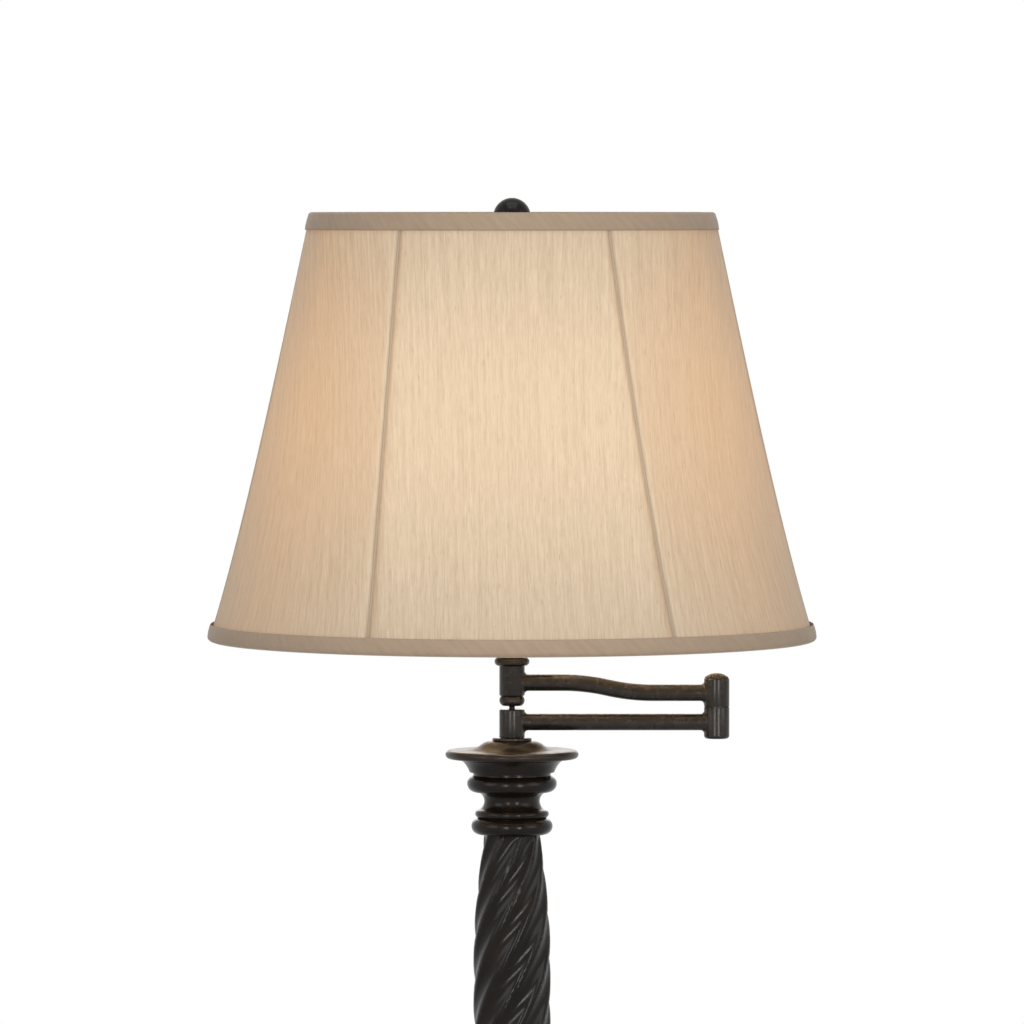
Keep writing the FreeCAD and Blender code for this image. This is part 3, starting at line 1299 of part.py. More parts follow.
spider = doc.addObject("PartDesign::Body", "shade_spider")
revolve(spider, "spider_hub", ring_outline("hub_bore", "spider_hub_radius", "spider_thickness"))
spider_way = new_sketch(spider, "spider_way")
outline(spider_way, (
    ("spider_hub_radius - web", "spider_axis"),
    ("spider_turn", "spider_axis", "spider_bend_bulge"),
    ("spider_reach", "spider_turn_top"),
    ("spider_reach", "spider_rise"),
), closed=False)
spider_section = new_sketch(spider, "spider_section", "YZ_Plane", "spider_axis",
                            "spider_hub_radius - web")
circles(spider_section, "0", "0", ("spider_wire",))
doc.recompute()
spider_arm = spider.newObject("PartDesign::AdditivePipe", "spider_arm")
spider_arm.Profile = spider_section
spider_arm.Spine = whole_way(spider_way)
doc.recompute()
spider_arms = spider.newObject("PartDesign::PolarPattern", "spider_arms")
spider_arms.Originals = [spider_arm]
spider_arms.Axis = (spider_way, ["V_Axis"])
spider_arms.Angle = 360
spider_arms.Occurrences = 3
spider.Tip = spider_arms
keep(spider, "shade_spider", "hub_bottom")

# ---------------------------------------------------------------- finial

turned("finial", (
    ("insert_radius + running_fit", "0"),
    ("finial_foot", "0"),
    ("finial_foot", "finial_foot_height"),
    ("finial_neck", "finial_foot_height"),
    ("finial_neck", "ball_foot", "ball_lower_bulge"),
    ("finial_radius", "ball_centre", "ball_upper_bulge"),
    ("0", "ball_centre + finial_radius"),
    ("0", "insert_height + sliding_gap"),
    ("insert_radius + running_fit", "insert_height + sliding_gap"),
), "finial_bottom")
turned("finial_insert", ring_outline("hub_bore", "insert_radius", "insert_height"),
       "finial_bottom")

# ---------------------------------------------------------------- checks and files

doc.recompute()
for item in doc.Objects:
    if "Invalid" in item.State or "Error" in item.State:
        raise RuntimeError("%s failed: %s" % (item.Name, item.State))
    if item.TypeId in ("PartDesign::Pocket", "PartDesign::Groove"):
        if item.Shape.Volume >= item.BaseFeature.Shape.Volume - 1e-6:
            raise RuntimeError("%s cuts nothing" % item.Name)
for piece in PIECES:
    if piece.Shape.isNull() or not piece.Shape.isValid() or not piece.Shape.Solids:
        raise RuntimeError("%s has no valid solid" % piece.Label)

os.makedirs("parts", exist_ok=True)
for piece in PIECES:
    piece.Shape.exportStep(os.path.join("parts", piece.Label + ".step"))
print("%d nodes" % len(PIECES))
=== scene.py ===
"""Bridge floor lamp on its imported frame: cloth shade, aged bronze, brass and a lit bulb."""

import json
import logging
import math
from collections.abc import Mapping, Sequence
from dataclasses import dataclass
from enum import Enum
from typing import Any

import bmesh
import bpy
from bmesh.types import BMesh
from mathutils import Matrix, Vector, noise


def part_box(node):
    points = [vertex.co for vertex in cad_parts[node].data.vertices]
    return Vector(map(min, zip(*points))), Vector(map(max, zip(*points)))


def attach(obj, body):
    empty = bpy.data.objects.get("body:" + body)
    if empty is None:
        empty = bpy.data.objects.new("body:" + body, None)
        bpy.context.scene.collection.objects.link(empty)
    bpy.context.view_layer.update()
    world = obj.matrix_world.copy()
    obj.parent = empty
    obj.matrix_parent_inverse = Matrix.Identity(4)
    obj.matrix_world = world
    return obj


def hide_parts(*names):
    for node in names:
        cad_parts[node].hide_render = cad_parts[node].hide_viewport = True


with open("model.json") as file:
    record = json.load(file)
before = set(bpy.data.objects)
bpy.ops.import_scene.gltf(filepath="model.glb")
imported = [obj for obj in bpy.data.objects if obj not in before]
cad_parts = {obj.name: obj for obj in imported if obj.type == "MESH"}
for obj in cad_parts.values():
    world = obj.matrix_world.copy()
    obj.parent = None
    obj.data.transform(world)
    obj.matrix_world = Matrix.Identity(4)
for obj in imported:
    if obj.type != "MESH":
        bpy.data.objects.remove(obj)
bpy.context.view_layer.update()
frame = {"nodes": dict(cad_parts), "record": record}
LOG = logging.getLogger("bridge_floor_lamp")
Colour = tuple[float, float, float]
MILLIMETRE = 0.001
POINT_MERGE = 1e-6
PANEL_MERGE = 1e-5
FACET_TURN = math.radians(0.05)
FACET_SHAPE = math.radians(40.0)
BEVEL_SEGMENTS = 3
SEAM_GAP = "seam_gap"
BLACK: Colour = (0.0, 0.0, 0.0)


class Graph:
    """Adds nodes to one shader tree and joins them."""

    def __init__(self, tree: bpy.types.NodeTree) -> None:
        """Keeps the tree that the nodes go into."""
        self.tree = tree

    def add(self, kind: str, feeds: Mapping[str | int, Any] | None = None,
            **settings: Any) -> bpy.types.Node:
        """Adds one node.

        Args:
            kind: the node's type, without the word ShaderNode.
            feeds: inputs by name or number, each a socket to join or a plain value.
            settings: the node's own properties.

        Returns:
            The new node.
        """
        node = self.tree.nodes.new("ShaderNode" + kind)
        for name, value in settings.items():
            setattr(node, name, value)
        return self.join(node, feeds or {})

    def join(self, node: bpy.types.Node, feeds: Mapping[str | int, Any]) -> bpy.types.Node:
        """Feeds a node's inputs, each with a socket or a plain value.

        Args:
            node: the node to feed.
            feeds: what goes to its inputs, by name or number.

        Returns:
            The same node.
        """
        for key, value in feeds.items():
            if isinstance(value, bpy.types.NodeSocket):
                self.tree.links.new(value, node.inputs[key])
            else:
                node.inputs[key].default_value = value
        return node

    def calc(self, operation: str, first: Any, second: Any = 0.0) -> bpy.types.NodeSocket:
        """One step of arithmetic, such as MULTIPLY, on two sockets or values."""
        return self.add("Math", {0: first, 1: second}, operation=operation).outputs[0]

    def remap(self, value: Any, low: float, high: float, to_low: float = 0.0,
              to_high: float = 1.0) -> bpy.types.NodeSocket:
        """Brings a value from one range into another, with its ends held."""
        feeds = {"Value": value, "From Min": low, "From Max": high,
                 "To Min": to_low, "To Max": to_high}
        return self.add("MapRange", feeds).outputs[0]

    def mix(self, share: Any, first: Any, second: Any, blend: str = "MIX") -> bpy.types.NodeSocket:
        """Mixes two colours by a share from 0 to 1."""
        feeds = {0: share, 6: opaque(first), 7: opaque(second)}
        return self.add("Mix", feeds, data_type="RGBA", blend_type=blend).outputs[2]

    def effect(self, tree: bpy.types.NodeTree, feeds: Mapping[str, Any]) -> bpy.types.Node:
        """Puts in one of the shared effects with its own values."""
        node = self.tree.nodes.new("ShaderNodeGroup")
        node.node_tree = tree
        return self.join(node, feeds)


def opaque(colour: Any) -> Any:
    """A colour of three numbers with its fourth added; a socket stays as it is."""
    if isinstance(colour, tuple) and len(colour) == 3:
        return (*colour, 1.0)
    return colour


class SocketKind(Enum):
    """Kinds of sockets on the shared effects."""

    NUMBER = "NodeSocketFloat"
    VECTOR = "NodeSocketVector"


class Effect:
    """A node group that several finishes use, built on its first use."""

    name: str = ""
    inputs: tuple[tuple[str, SocketKind, float], ...] = ()
    outputs: tuple[str, ...] = ()

    @classmethod
    def tree(cls) -> bpy.types.NodeTree:
        """The effect's group, with its sockets and nodes."""
        made = bpy.data.node_groups.get(cls.name)
        if made is not None:
            return made
        made = bpy.data.node_groups.new(cls.name, "ShaderNodeTree")
        for name, kind, value in cls.inputs:
            socket = made.interface.new_socket(name=name, in_out="INPUT", socket_type=kind.value)
            if kind is SocketKind.NUMBER:
                socket.default_value = value
        for name in cls.outputs:
            made.interface.new_socket(name=name, in_out="OUTPUT",
                                      socket_type=SocketKind.NUMBER.value)
        graph = Graph(made)
        source = made.nodes.new("NodeGroupInput")
        target = made.nodes.new("NodeGroupOutput")
        for name, socket in cls.draw(graph, source.outputs).items():
            made.links.new(socket, target.inputs[name])
        return made

    @classmethod
    def draw(cls, graph: Graph, given: bpy.types.NodeOutputs) -> dict[str, bpy.types.NodeSocket]:
        """The nodes inside the group.

        Args:
            graph: the group's own graph.
            given: the group's inputs.

        Returns:
            A socket for each output.
        """
        raise NotImplementedError


class EdgeWear(Effect):
    """Where paint is rubbed off: the outward edges, broken up by a noise."""

    name = "edge_wear"
    inputs = (("Vector", SocketKind.VECTOR, 0.0), ("Radius", SocketKind.NUMBER, 0.001),
              ("Scale", SocketKind.NUMBER, 220.0))
    outputs = ("Mask",)
    samples: int = 6
    likeness_range: tuple[float, float] = (0.975, 0.82)
    patch_detail: float = 4.0
    patch_range: tuple[float, float] = (0.38, 0.66)

    @classmethod
    def draw(cls, graph: Graph, given: bpy.types.NodeOutputs) -> dict[str, bpy.types.NodeSocket]:
        """Compares the surface's direction with its rounded one, then breaks the result up."""
        rounded = graph.add("Bevel", {"Radius": given["Radius"]}, samples=cls.samples)
        own = graph.add("NewGeometry")
        likeness = graph.add("VectorMath", {0: rounded.outputs[0], 1: own.outputs["Normal"]},
                             operation="DOT_PRODUCT")
        edge = graph.remap(likeness.outputs["Value"], *cls.likeness_range)
        patches = graph.add("TexNoise", {"Vector": given["Vector"], "Scale": given["Scale"],
                                         "Detail": cls.patch_detail})
        rubbed = graph.remap(patches.outputs[0], *cls.patch_range)
        return {"Mask": graph.calc("MULTIPLY", edge, rubbed)}


class Mottle(Effect):
    """Soft clouds of a hand-rubbed or cast surface, with its fine pits."""

    name = "mottle"
    inputs = (("Vector", SocketKind.VECTOR, 0.0), ("Scale", SocketKind.NUMBER, 60.0))
    outputs = ("Clouds", "Pits")
    cloud_detail: float = 5.0
    cloud_roughness: float = 0.6
    cloud_range: tuple[float, float] = (0.3, 0.7)
    pits_per_cloud: float = 14.0
    pit_detail: float = 2.0

    @classmethod
    def draw(cls, graph: Graph, given: bpy.types.NodeOutputs) -> dict[str, bpy.types.NodeSocket]:
        """Two noises, one large and one fine."""
        clouds = graph.add("TexNoise", {"Vector": given["Vector"], "Scale": given["Scale"],
                                        "Detail": cls.cloud_detail,
                                        "Roughness": cls.cloud_roughness})
        fine = graph.calc("MULTIPLY", given["Scale"], cls.pits_per_cloud)
        pits = graph.add("TexNoise", {"Vector": given["Vector"], "Scale": fine,
                                      "Detail": cls.pit_detail})
        return {"Clouds": graph.remap(clouds.outputs[0], *cls.cloud_range),
                "Pits": pits.outputs[0]}


class Slub(Effect):
    """Woven silk look: fine upright threads with thicker slubs, on metres of cloth."""

    name = "slub_weave"
    inputs = (("Vector", SocketKind.VECTOR, 0.0),)
    outputs = ("Threads", "Slubs", "Height")
    fine_scale: tuple[float, float, float] = (950.0, 62.0, 1.0)
    fine_detail: float = 4.0
    fine_roughness: float = 0.7
    fine_share: float = 0.65
    coarse_scale: tuple[float, float, float] = (420.0, 9.0, 1.0)
    coarse_detail: float = 2.0
    coarse_share: float = 0.35
    thread_range: tuple[float, float] = (0.37, 0.63)
    fleck_scale: tuple[float, float, float] = (560.0, 95.0, 1.0)
    fleck_detail: float = 1.0
    fleck_range: tuple[float, float] = (0.69, 0.80)

    @classmethod
    def draw(cls, graph: Graph, given: bpy.types.NodeOutputs) -> dict[str, bpy.types.NodeSocket]:
        """Noises drawn out along the warp, and short flecks across it."""
        drawn = graph.add("Mapping", {"Vector": given["Vector"], "Scale": cls.fine_scale})
        fine = graph.add("TexNoise", {"Vector": drawn.outputs[0], "Scale": 1.0,
                                      "Detail": cls.fine_detail,
                                      "Roughness": cls.fine_roughness})
        wide = graph.add("Mapping", {"Vector": given["Vector"], "Scale": cls.coarse_scale})
        coarse = graph.add("TexNoise", {"Vector": wide.outputs[0], "Scale": 1.0,
                                        "Detail": cls.coarse_detail})
        flecked = graph.add("Mapping", {"Vector": given["Vector"], "Scale": cls.fleck_scale})
        flecks = graph.add("TexNoise", {"Vector": flecked.outputs[0], "Scale": 1.0,
                                        "Detail": cls.fleck_detail})
        slubs = graph.remap(flecks.outputs[0], *cls.fleck_range)
        both = graph.calc("ADD", graph.calc("MULTIPLY", fine.outputs[0], cls.fine_share),
                          graph.calc("MULTIPLY", coarse.outputs[0], cls.coarse_share))
        fibres = graph.remap(both, *cls.thread_range)
        height = graph.calc("ADD", fibres, slubs)
        return {"Threads": fibres, "Slubs": slubs, "Height": height}


class BiasWeave(Effect):
    """Ribbed cloth cut on the bias, as on a trim band that runs round the object's axis."""

    name = "bias_weave"
    inputs = (("Vector", SocketKind.VECTOR, 0.0), ("Radius", SocketKind.NUMBER, 0.2),
              ("Pitch", SocketKind.NUMBER, 0.0016))
    outputs = ("Ribs", "Blotches")
    uneven_scale: float = 70.0
    uneven_detail: float = 2.0
    wander_depth: float = 0.004
    blotch_stretch_along: float = 210.0
    blotch_stretch_across: float = 30.0
    blotch_detail: float = 3.0
    blotch_range: tuple[float, float] = (0.3, 0.7)

    @classmethod
    def draw(cls, graph: Graph, given: bpy.types.NodeOutputs) -> dict[str, bpy.types.NodeSocket]:
        """Diagonal ribs in metres of arc and height, with a slow unevenness."""
        place = graph.add("SeparateXYZ", {0: given["Vector"]})
        turn = graph.calc("ARCTAN2", place.outputs["Y"], place.outputs["X"])
        along = graph.calc("MULTIPLY", turn, given["Radius"])
        uneven = graph.add("TexNoise", {"Vector": given["Vector"], "Scale": cls.uneven_scale,
                                        "Detail": cls.uneven_detail})
        wander = graph.calc("MULTIPLY", uneven.outputs[0], cls.wander_depth)
        slant = graph.calc("ADD", graph.calc("ADD", along, place.outputs["Z"]), wander)
        phase = graph.calc("MULTIPLY", graph.calc("DIVIDE", slant, given["Pitch"]), math.tau)
        ribs = graph.remap(graph.calc("SINE", phase), -1.0, 1.0)
        across = graph.calc("SUBTRACT", along, place.outputs["Z"])
        # Blotches of darker and lighter cloth, drawn out along the bias.
        stretched_place = graph.add("CombineXYZ", {
            "X": graph.calc("MULTIPLY", slant, cls.blotch_stretch_along),
            "Y": graph.calc("MULTIPLY", across, cls.blotch_stretch_across)})
        blotches = graph.add("TexNoise", {"Vector": stretched_place.outputs[0], "Scale": 1.0,
                                          "Detail": cls.blotch_detail})
        return {"Ribs": ribs, "Blotches": graph.remap(blotches.outputs[0], *cls.blotch_range)}


@dataclass(frozen=True)
class Finish:
    """What every finish has: its name, the record's slot and the shader's plain values."""

    name: str
    slot: str
    roughness: float = 0.5
    metallic: float = 0.0
    specular: float = 0.5
    sheen: float = 0.0
    gloss_spread: tuple[float, float] = (0.04, 0.06)

    def material(self) -> bpy.types.Material:
        """The finish's material, made on its first use."""
        made = bpy.data.materials.get(self.name)
        if made is not None:
            return made
        made = bpy.data.materials.new(self.name)
        made.use_nodes = True
        shader = made.node_tree.nodes["Principled BSDF"]
        shader.inputs["Roughness"].default_value = self.roughness
        shader.inputs["Metallic"].default_value = self.metallic
        shader.inputs["Specular IOR Level"].default_value = self.specular
        shader.inputs["Sheen Weight"].default_value = self.sheen
        graph = Graph(made.node_tree)
        place = graph.add("TexCoord")
        self.paint(graph, shader, place.outputs)
        return made

    def paint(self, graph: Graph, shader: bpy.types.Node, place: bpy.types.NodeOutputs) -> None:
        """Adds what varies over the surface.

        Args:
            graph: the material's graph.
            shader: its Principled shader.
            place: the outputs of its Texture Coordinate node.
        """
        raise NotImplementedError

    def gloss(self, graph: Graph, clouds: bpy.types.NodeSocket) -> bpy.types.NodeSocket:
        """Roughness that follows the clouds, from a little under the finish's own to over it."""
        under, over = self.gloss_spread
        return graph.remap(clouds, 0.0, 1.0, self.roughness - under, self.roughness + over)

    def emboss(self, graph: Graph, shader: bpy.types.Node, height: Any, depth: float) -> None:
        """Feeds a height, in metres once times depth, to the shader's normal."""
        bump = graph.add("Bump", {"Height": height, "Strength": 1.0, "Distance": depth})
        graph.tree.links.new(bump.outputs[0], shader.inputs["Normal"])

    def feed(self, graph: Graph, shader: bpy.types.Node, **sockets: bpy.types.NodeSocket) -> None:
        """Joins sockets to the shader's inputs, whose spaces are written as underscores."""
        for name, socket in sockets.items():
            graph.tree.links.new(socket, shader.inputs[name.replace("_", " ")])


@dataclass(frozen=True)
class AgedBronze(Finish):
    """Dark paint with brown clouds, rubbed through on its edges."""

    dark: Colour = (0.0055, 0.0042, 0.0036)
    brown: Colour = (0.012, 0.0078, 0.0055)
    worn: Colour = (0.10, 0.048, 0.024)
    scale: float = 55.0
    wear_radius: float = 0.0012
    wear: float = 0.7
    pits: float = 0.00003
    gloss_spread: tuple[float, float] = (0.05, 0.08)

    def paint(self, graph: Graph, shader: bpy.types.Node, place: bpy.types.NodeOutputs) -> None:
        """Clouds, edge wear, uneven gloss and fine pits."""
        mottle = graph.effect(Mottle.tree(), {"Vector": place["Object"], "Scale": self.scale})
        wear = graph.effect(EdgeWear.tree(), {"Vector": place["Object"],
                                              "Radius": self.wear_radius})
        rubbed = graph.calc("MULTIPLY", wear.outputs["Mask"], self.wear)
        body = graph.mix(mottle.outputs["Clouds"], self.dark, self.brown)
        gloss = self.gloss(graph, mottle.outputs["Clouds"])
        self.feed(graph, shader, Base_Color=graph.mix(rubbed, body, self.worn), Roughness=gloss)
        self.emboss(graph, shader, mottle.outputs["Pits"], self.pits)


@dataclass(frozen=True)
class PlainCoat(Finish):
    """Metal, enamel, plastic or casting with two close colours and a grain."""

    first: Colour = (0.5, 0.5, 0.5)
    second: Colour = (0.4, 0.4, 0.4)
    scale: float = 90.0
    pits: float = 0.00002

    def paint(self, graph: Graph, shader: bpy.types.Node, place: bpy.types.NodeOutputs) -> None:
        """Clouds of the second colour, with uneven gloss."""
        mottle = graph.effect(Mottle.tree(), {"Vector": place["Object"], "Scale": self.scale})
        gloss = self.gloss(graph, mottle.outputs["Clouds"])
        colour = graph.mix(mottle.outputs["Clouds"], self.first, self.second)
        self.feed(graph, shader, Base_Color=colour, Roughness=gloss)
        self.emboss(graph, shader, mottle.outputs["Pits"], self.pits)


@dataclass(frozen=True)
class ShadeCloth(Finish):
    """Shade cloth with upright slubs and a painted glow that stands in for the bulb's light through
    it.
    """

    light_thread: Colour = (0.44, 0.375, 0.295)
    dark_thread: Colour = (0.345, 0.285, 0.215)
    slub: Colour = (0.30, 0.22, 0.15)
    # Painted glow: emission that stands in for the bulb's light through the cloth; the colours,
    # levels and ranges below shape it.
    glow: Colour = (1.0, 0.68, 0.385)
    side_glow: Colour = (1.0, 0.54, 0.22)
    glow_strength: float = 0.43
    bright_level: float = 1.372
    glow_reach: float = 0.168
    seam_core: float = 0.0005
    seam_edge: float = 0.0030
    # Painted shade at the seams, in the glow and in the base colour.
    seam_shade: float = 0.60
    seam_shade_tint: float = 0.35
    slub_tint: float = 0.5
    thread_glow: tuple[float, float] = (0.86, 1.12)
    slub_glow: float = 0.75
    side_range: tuple[float, float] = (0.12, 0.50)
    rim_range: tuple[float, float] = (0.55, 1.0)
    rim_glow: float = 0.55
    depth: float = 0.00012

    def paint(self, graph: Graph, shader: bpy.types.Node, place: bpy.types.NodeOutputs) -> None:
        """Threads and slubs on the cloth's own map, and a painted glow that fades away from the
        bulb's level, turns warmer and dimmer where the cloth is seen aslant and darkens at the
        seams.
        """
        weave = graph.effect(Slub.tree(), {"Vector": place["UV"]})
        threads = graph.mix(weave.outputs["Threads"], self.dark_thread, self.light_thread)
        gap = graph.add("Attribute", attribute_name=SEAM_GAP, attribute_type="GEOMETRY")
        seam = graph.remap(gap.outputs["Fac"], self.seam_core, self.seam_edge, 1.0, 0.0)
        # Painted shade: the base colour darkens towards the seams, together with the real slubs.
        slubs_and_seam_shade = graph.calc("MAXIMUM",
                            graph.calc("MULTIPLY", weave.outputs["Slubs"], self.slub_tint),
                            graph.calc("MULTIPLY", seam, self.seam_shade_tint))
        cloth = graph.mix(slubs_and_seam_shade, threads, self.slub)
        # Painted glow, brightest at the bulb's level and fading above and below it.
        spot = graph.add("SeparateXYZ", {0: place["Object"]})
        above = graph.calc("SUBTRACT", spot.outputs["Z"], self.bright_level)
        share = graph.calc("DIVIDE", above, self.glow_reach)
        spread = graph.calc("ADD", graph.calc("MULTIPLY", share, share), 1.0)
        fade = graph.calc("DIVIDE", 1.0, spread)
        uneven = graph.remap(weave.outputs["Threads"], 0.0, 1.0, *self.thread_glow)
        flecks = graph.remap(weave.outputs["Slubs"], 0.0, 1.0, 1.0, self.slub_glow)
        # Painted shade: the glow dims where the seam's doubled cloth lies.
        seam_painted_shade = graph.remap(seam, 0.0, 1.0, 1.0, 1.0 - self.seam_shade)
        level = graph.calc("MULTIPLY", graph.calc("MULTIPLY", fade, uneven),
                           graph.calc("MULTIPLY", flecks, seam_painted_shade))
        # Painted light and shade by viewing angle: the glow is warmer and dimmer where the cloth is
        # seen aslant.
        aslant = graph.add("LayerWeight", {"Blend": 0.5}).outputs["Facing"]
        warmth = graph.mix(graph.remap(aslant, *self.side_range), self.glow, self.side_glow)
        rim = graph.remap(aslant, *self.rim_range, 1.0, self.rim_glow)
        lit = graph.mix(graph.calc("MULTIPLY", level, rim), BLACK, warmth)
        self.feed(graph, shader, Base_Color=cloth, Emission_Color=lit)
        shader.inputs["Emission Strength"].default_value = self.glow_strength
        self.emboss(graph, shader, weave.outputs["Height"], self.depth)


@dataclass(frozen=True)
class TrimCloth(Finish):
    """Ribbed trim cloth, cut on the bias."""

    light: Colour = (0.43, 0.32, 0.225)
    dark: Colour = (0.33, 0.24, 0.165)
    radius: float = 0.2
    rib_share: float = 0.55
    blotch_share: float = 0.45
    depth: float = 0.0002

    def paint(self, graph: Graph, shader: bpy.types.Node, place: bpy.types.NodeOutputs) -> None:
        """Diagonal ribs with blotches."""
        weave = graph.effect(BiasWeave.tree(), {"Vector": place["Object"], "Radius": self.radius})
        ribs = graph.calc("MULTIPLY", weave.outputs["Ribs"], self.rib_share)
        blotches = graph.calc("MULTIPLY", weave.outputs["Blotches"], self.blotch_share)
        share = graph.calc("ADD", ribs, blotches)
        self.feed(graph, shader, Base_Color=graph.mix(share, self.dark, self.light))
        self.emboss(graph, shader, share, self.depth)


@dataclass(frozen=True)
class Napped(Finish):
    """Felt or lining cloth: a plain colour with a short nap."""

    first: Colour = (0.8, 0.76, 0.68)
    second: Colour = (0.7, 0.66, 0.58)
    scale: float = 900.0
    nap: float = 0.0001

    def paint(self, graph: Graph, shader: bpy.types.Node, place: bpy.types.NodeOutputs) -> None:
        """A fine noise in colour and height."""
        mottle = graph.effect(Mottle.tree(), {"Vector": place["Object"], "Scale": self.scale})
        colour = graph.mix(mottle.outputs["Clouds"], self.first, self.second)
        self.feed(graph, shader, Base_Color=colour)
        self.emboss(graph, shader, mottle.outputs["Clouds"], self.nap)


@dataclass(frozen=True)
class LitGlass(Finish):
    """Frosted bulb glass that glows, a little less towards its neck."""

    glass: Colour = (0.93, 0.90, 0.84)
    glow: Colour = (1.0, 0.72, 0.42)
    strength: float = 38.0
    neck_level: float = 1.2475
    full_level: float = 1.2875
    neck_glow: float = 0.25

    def paint(self, graph: Graph, shader: bpy.types.Node, place: bpy.types.NodeOutputs) -> None:
        """A glow that grows from the neck to the widest part."""
        spot = graph.add("SeparateXYZ", {0: place["Object"]})
        share = graph.remap(spot.outputs["Z"], self.neck_level, self.full_level,
                            self.neck_glow, 1.0)
        self.feed(graph, shader, Emission_Color=graph.mix(share, BLACK, self.glow))
        shader.inputs["Base Color"].default_value = opaque(self.glass)
        shader.inputs["Emission Strength"].default_value = self.strength


RESIN_BRONZE = AgedBronze("aged_bronze_casting", "bronze_resin", roughness=0.20, specular=0.15)
# A copy of the casting's bronze for the disc: its lighter brown is painted light, standing in for
# the bulb's warm light on the disc's top.
LIT_DISC_BRONZE = AgedBronze("bronze_disc_painted_lighter", "bronze_resin", roughness=0.33, specular=0.23,
                         brown=(0.020, 0.012, 0.008), wear=0.5)
ARM_BRONZE = AgedBronze(
    "satin_bronze_metal", "bronze_metal", roughness=0.24, specular=0.26,
    dark=(0.013, 0.0105, 0.0085), brown=(0.020, 0.015, 0.011), worn=(0.07, 0.045, 0.03),
    scale=120.0, wear_radius=0.0006, wear=0.35, pits=0.00001)
CAST_IRON = PlainCoat("raw_iron_casting", "cast_iron", roughness=0.75, metallic=0.6,
                      first=(0.10, 0.10, 0.10), second=(0.06, 0.055, 0.05), pits=0.0002)
ZINC_STEEL = PlainCoat("zinc_plated_steel", "steel", roughness=0.35, metallic=1.0,
                       first=(0.55, 0.55, 0.53), second=(0.46, 0.46, 0.45))
ANTIQUE_BRASS = PlainCoat("antique_brass", "brass", roughness=0.30, metallic=1.0,
                          first=(0.66, 0.47, 0.21), second=(0.52, 0.35, 0.15))
CREAM_WIRE = PlainCoat("cream_enamelled_wire", "shade_wire", roughness=0.40,
                       first=(0.62, 0.55, 0.44), second=(0.55, 0.48, 0.38))
FIBRE_BOARD = PlainCoat("pressed_fibre", "fibre", roughness=0.85,
                        first=(0.30, 0.19, 0.10), second=(0.22, 0.14, 0.08), pits=0.0001)
BLACK_MOULDING = PlainCoat("black_phenolic", "moulding", roughness=0.28,
                           first=(0.012, 0.010, 0.009), second=(0.02, 0.016, 0.014))
BULB_METAL = PlainCoat("bright_screw_cap", "bulb_metal", roughness=0.25, metallic=1.0,
                       first=(0.78, 0.78, 0.77), second=(0.66, 0.66, 0.65))
BULB_GLASS = LitGlass("frosted_lit_glass", "bulb_glass", roughness=0.5)
SHADE_CLOTH = ShadeCloth("slub_shade_cloth_with_painted_glow", "shade_fabric", roughness=0.75, specular=0.2,
                         sheen=0.15)
BLACK_FIBRE = PlainCoat("black_fibre", "fibre", roughness=0.8,
                        first=(0.012, 0.010, 0.009), second=(0.02, 0.016, 0.014))
LINING = Napped("shade_lining", "shade_fabric", roughness=0.8, specular=0.2)
TOP_TRIM = TrimCloth("top_bias_trim", "shade_trim", roughness=0.75, specular=0.25, sheen=0.2,
                     radius=0.155)
HEM_TRIM = TrimCloth("hem_bias_trim", "shade_trim", roughness=0.75, specular=0.25, sheen=0.2,
                     radius=0.228)
FELT = Napped("dark_felt", "felt", roughness=0.95, specular=0.1,
              first=(0.012, 0.014, 0.012), second=(0.02, 0.022, 0.02), nap=0.0003)

BODY_OF = {node: body
           for body, nodes in frame["record"]["behaviour"]["bodies"].items()
           for node in nodes}


def add_piece(mesh: BMesh, name: str, finish: Finish, nodes: Sequence[str],
              sharp: float = 35.0) -> bpy.types.Object:
    """Makes a finished piece that stands for CAD nodes.

    Args:
        mesh: the piece's shape in the frame's place, in metres.
        name: the piece's name.
        finish: its finish.
        nodes: the nodes that it replaces, all on one body.
        sharp: edges that turn more than this many degrees are shaded sharp.

    Returns:
        The new object, which rides on the nodes' body.
    """
    data = bpy.data.meshes.new(name)
    mesh.to_mesh(data)
    mesh.free()
    data.materials.append(finish.material())
    data.shade_smooth()
    data.set_sharp_from_angle(angle=math.radians(sharp))
    piece = bpy.data.objects.new(name, data)
    bpy.context.scene.collection.objects.link(piece)
    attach(piece, BODY_OF[nodes[0]])
    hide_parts(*nodes)
    LOG.info("%s: %d faces", name, len(data.polygons))
    return piece


def node_mesh(node: str) -> BMesh:
    """A copy of a CAD node's mesh with its loose points merged."""
    mesh = bmesh.new()
    mesh.from_mesh(frame["nodes"][node].data)
    bmesh.ops.remove_doubles(mesh, verts=mesh.verts, dist=POINT_MERGE)
    return mesh


def soften(mesh: BMesh, radius: float, turn: float = 40.0) -> None:
    """Joins the triangles of each flat facet and rounds the sharper edges.

    Args:
        mesh: the mesh to change.
        radius: how far the rounding reaches from an edge, in metres.
        turn: edges that turn more than this many degrees are rounded.
    """
    bmesh.ops.join_triangles(mesh, faces=mesh.faces, angle_face_threshold=FACET_TURN,
                             angle_shape_threshold=FACET_SHAPE)
    limit = math.radians(turn)
    edges = [edge for edge in mesh.edges if edge.is_manifold and edge.calc_face_angle(0.0) > limit]
    bmesh.ops.bevel(mesh, geom=edges, offset=radius, offset_type="OFFSET",
                    segments=BEVEL_SEGMENTS, profile=0.5, affect="EDGES", material=-1,
                    clamp_overlap=True)


@dataclass(frozen=True)
class Dressed:
    """A rigid node that keeps its shape and gets rounded edges and a finish."""

    node: str
    finish: Finish
    edge: float = 0.4

    def build(self) -> bpy.types.Object:
        """The piece, named after its node."""
        mesh = node_mesh(self.node)
        if self.edge > 0.0:
            soften(mesh, self.edge * MILLIMETRE)
        return add_piece(mesh, self.node + "_dressed", self.finish, [self.node])


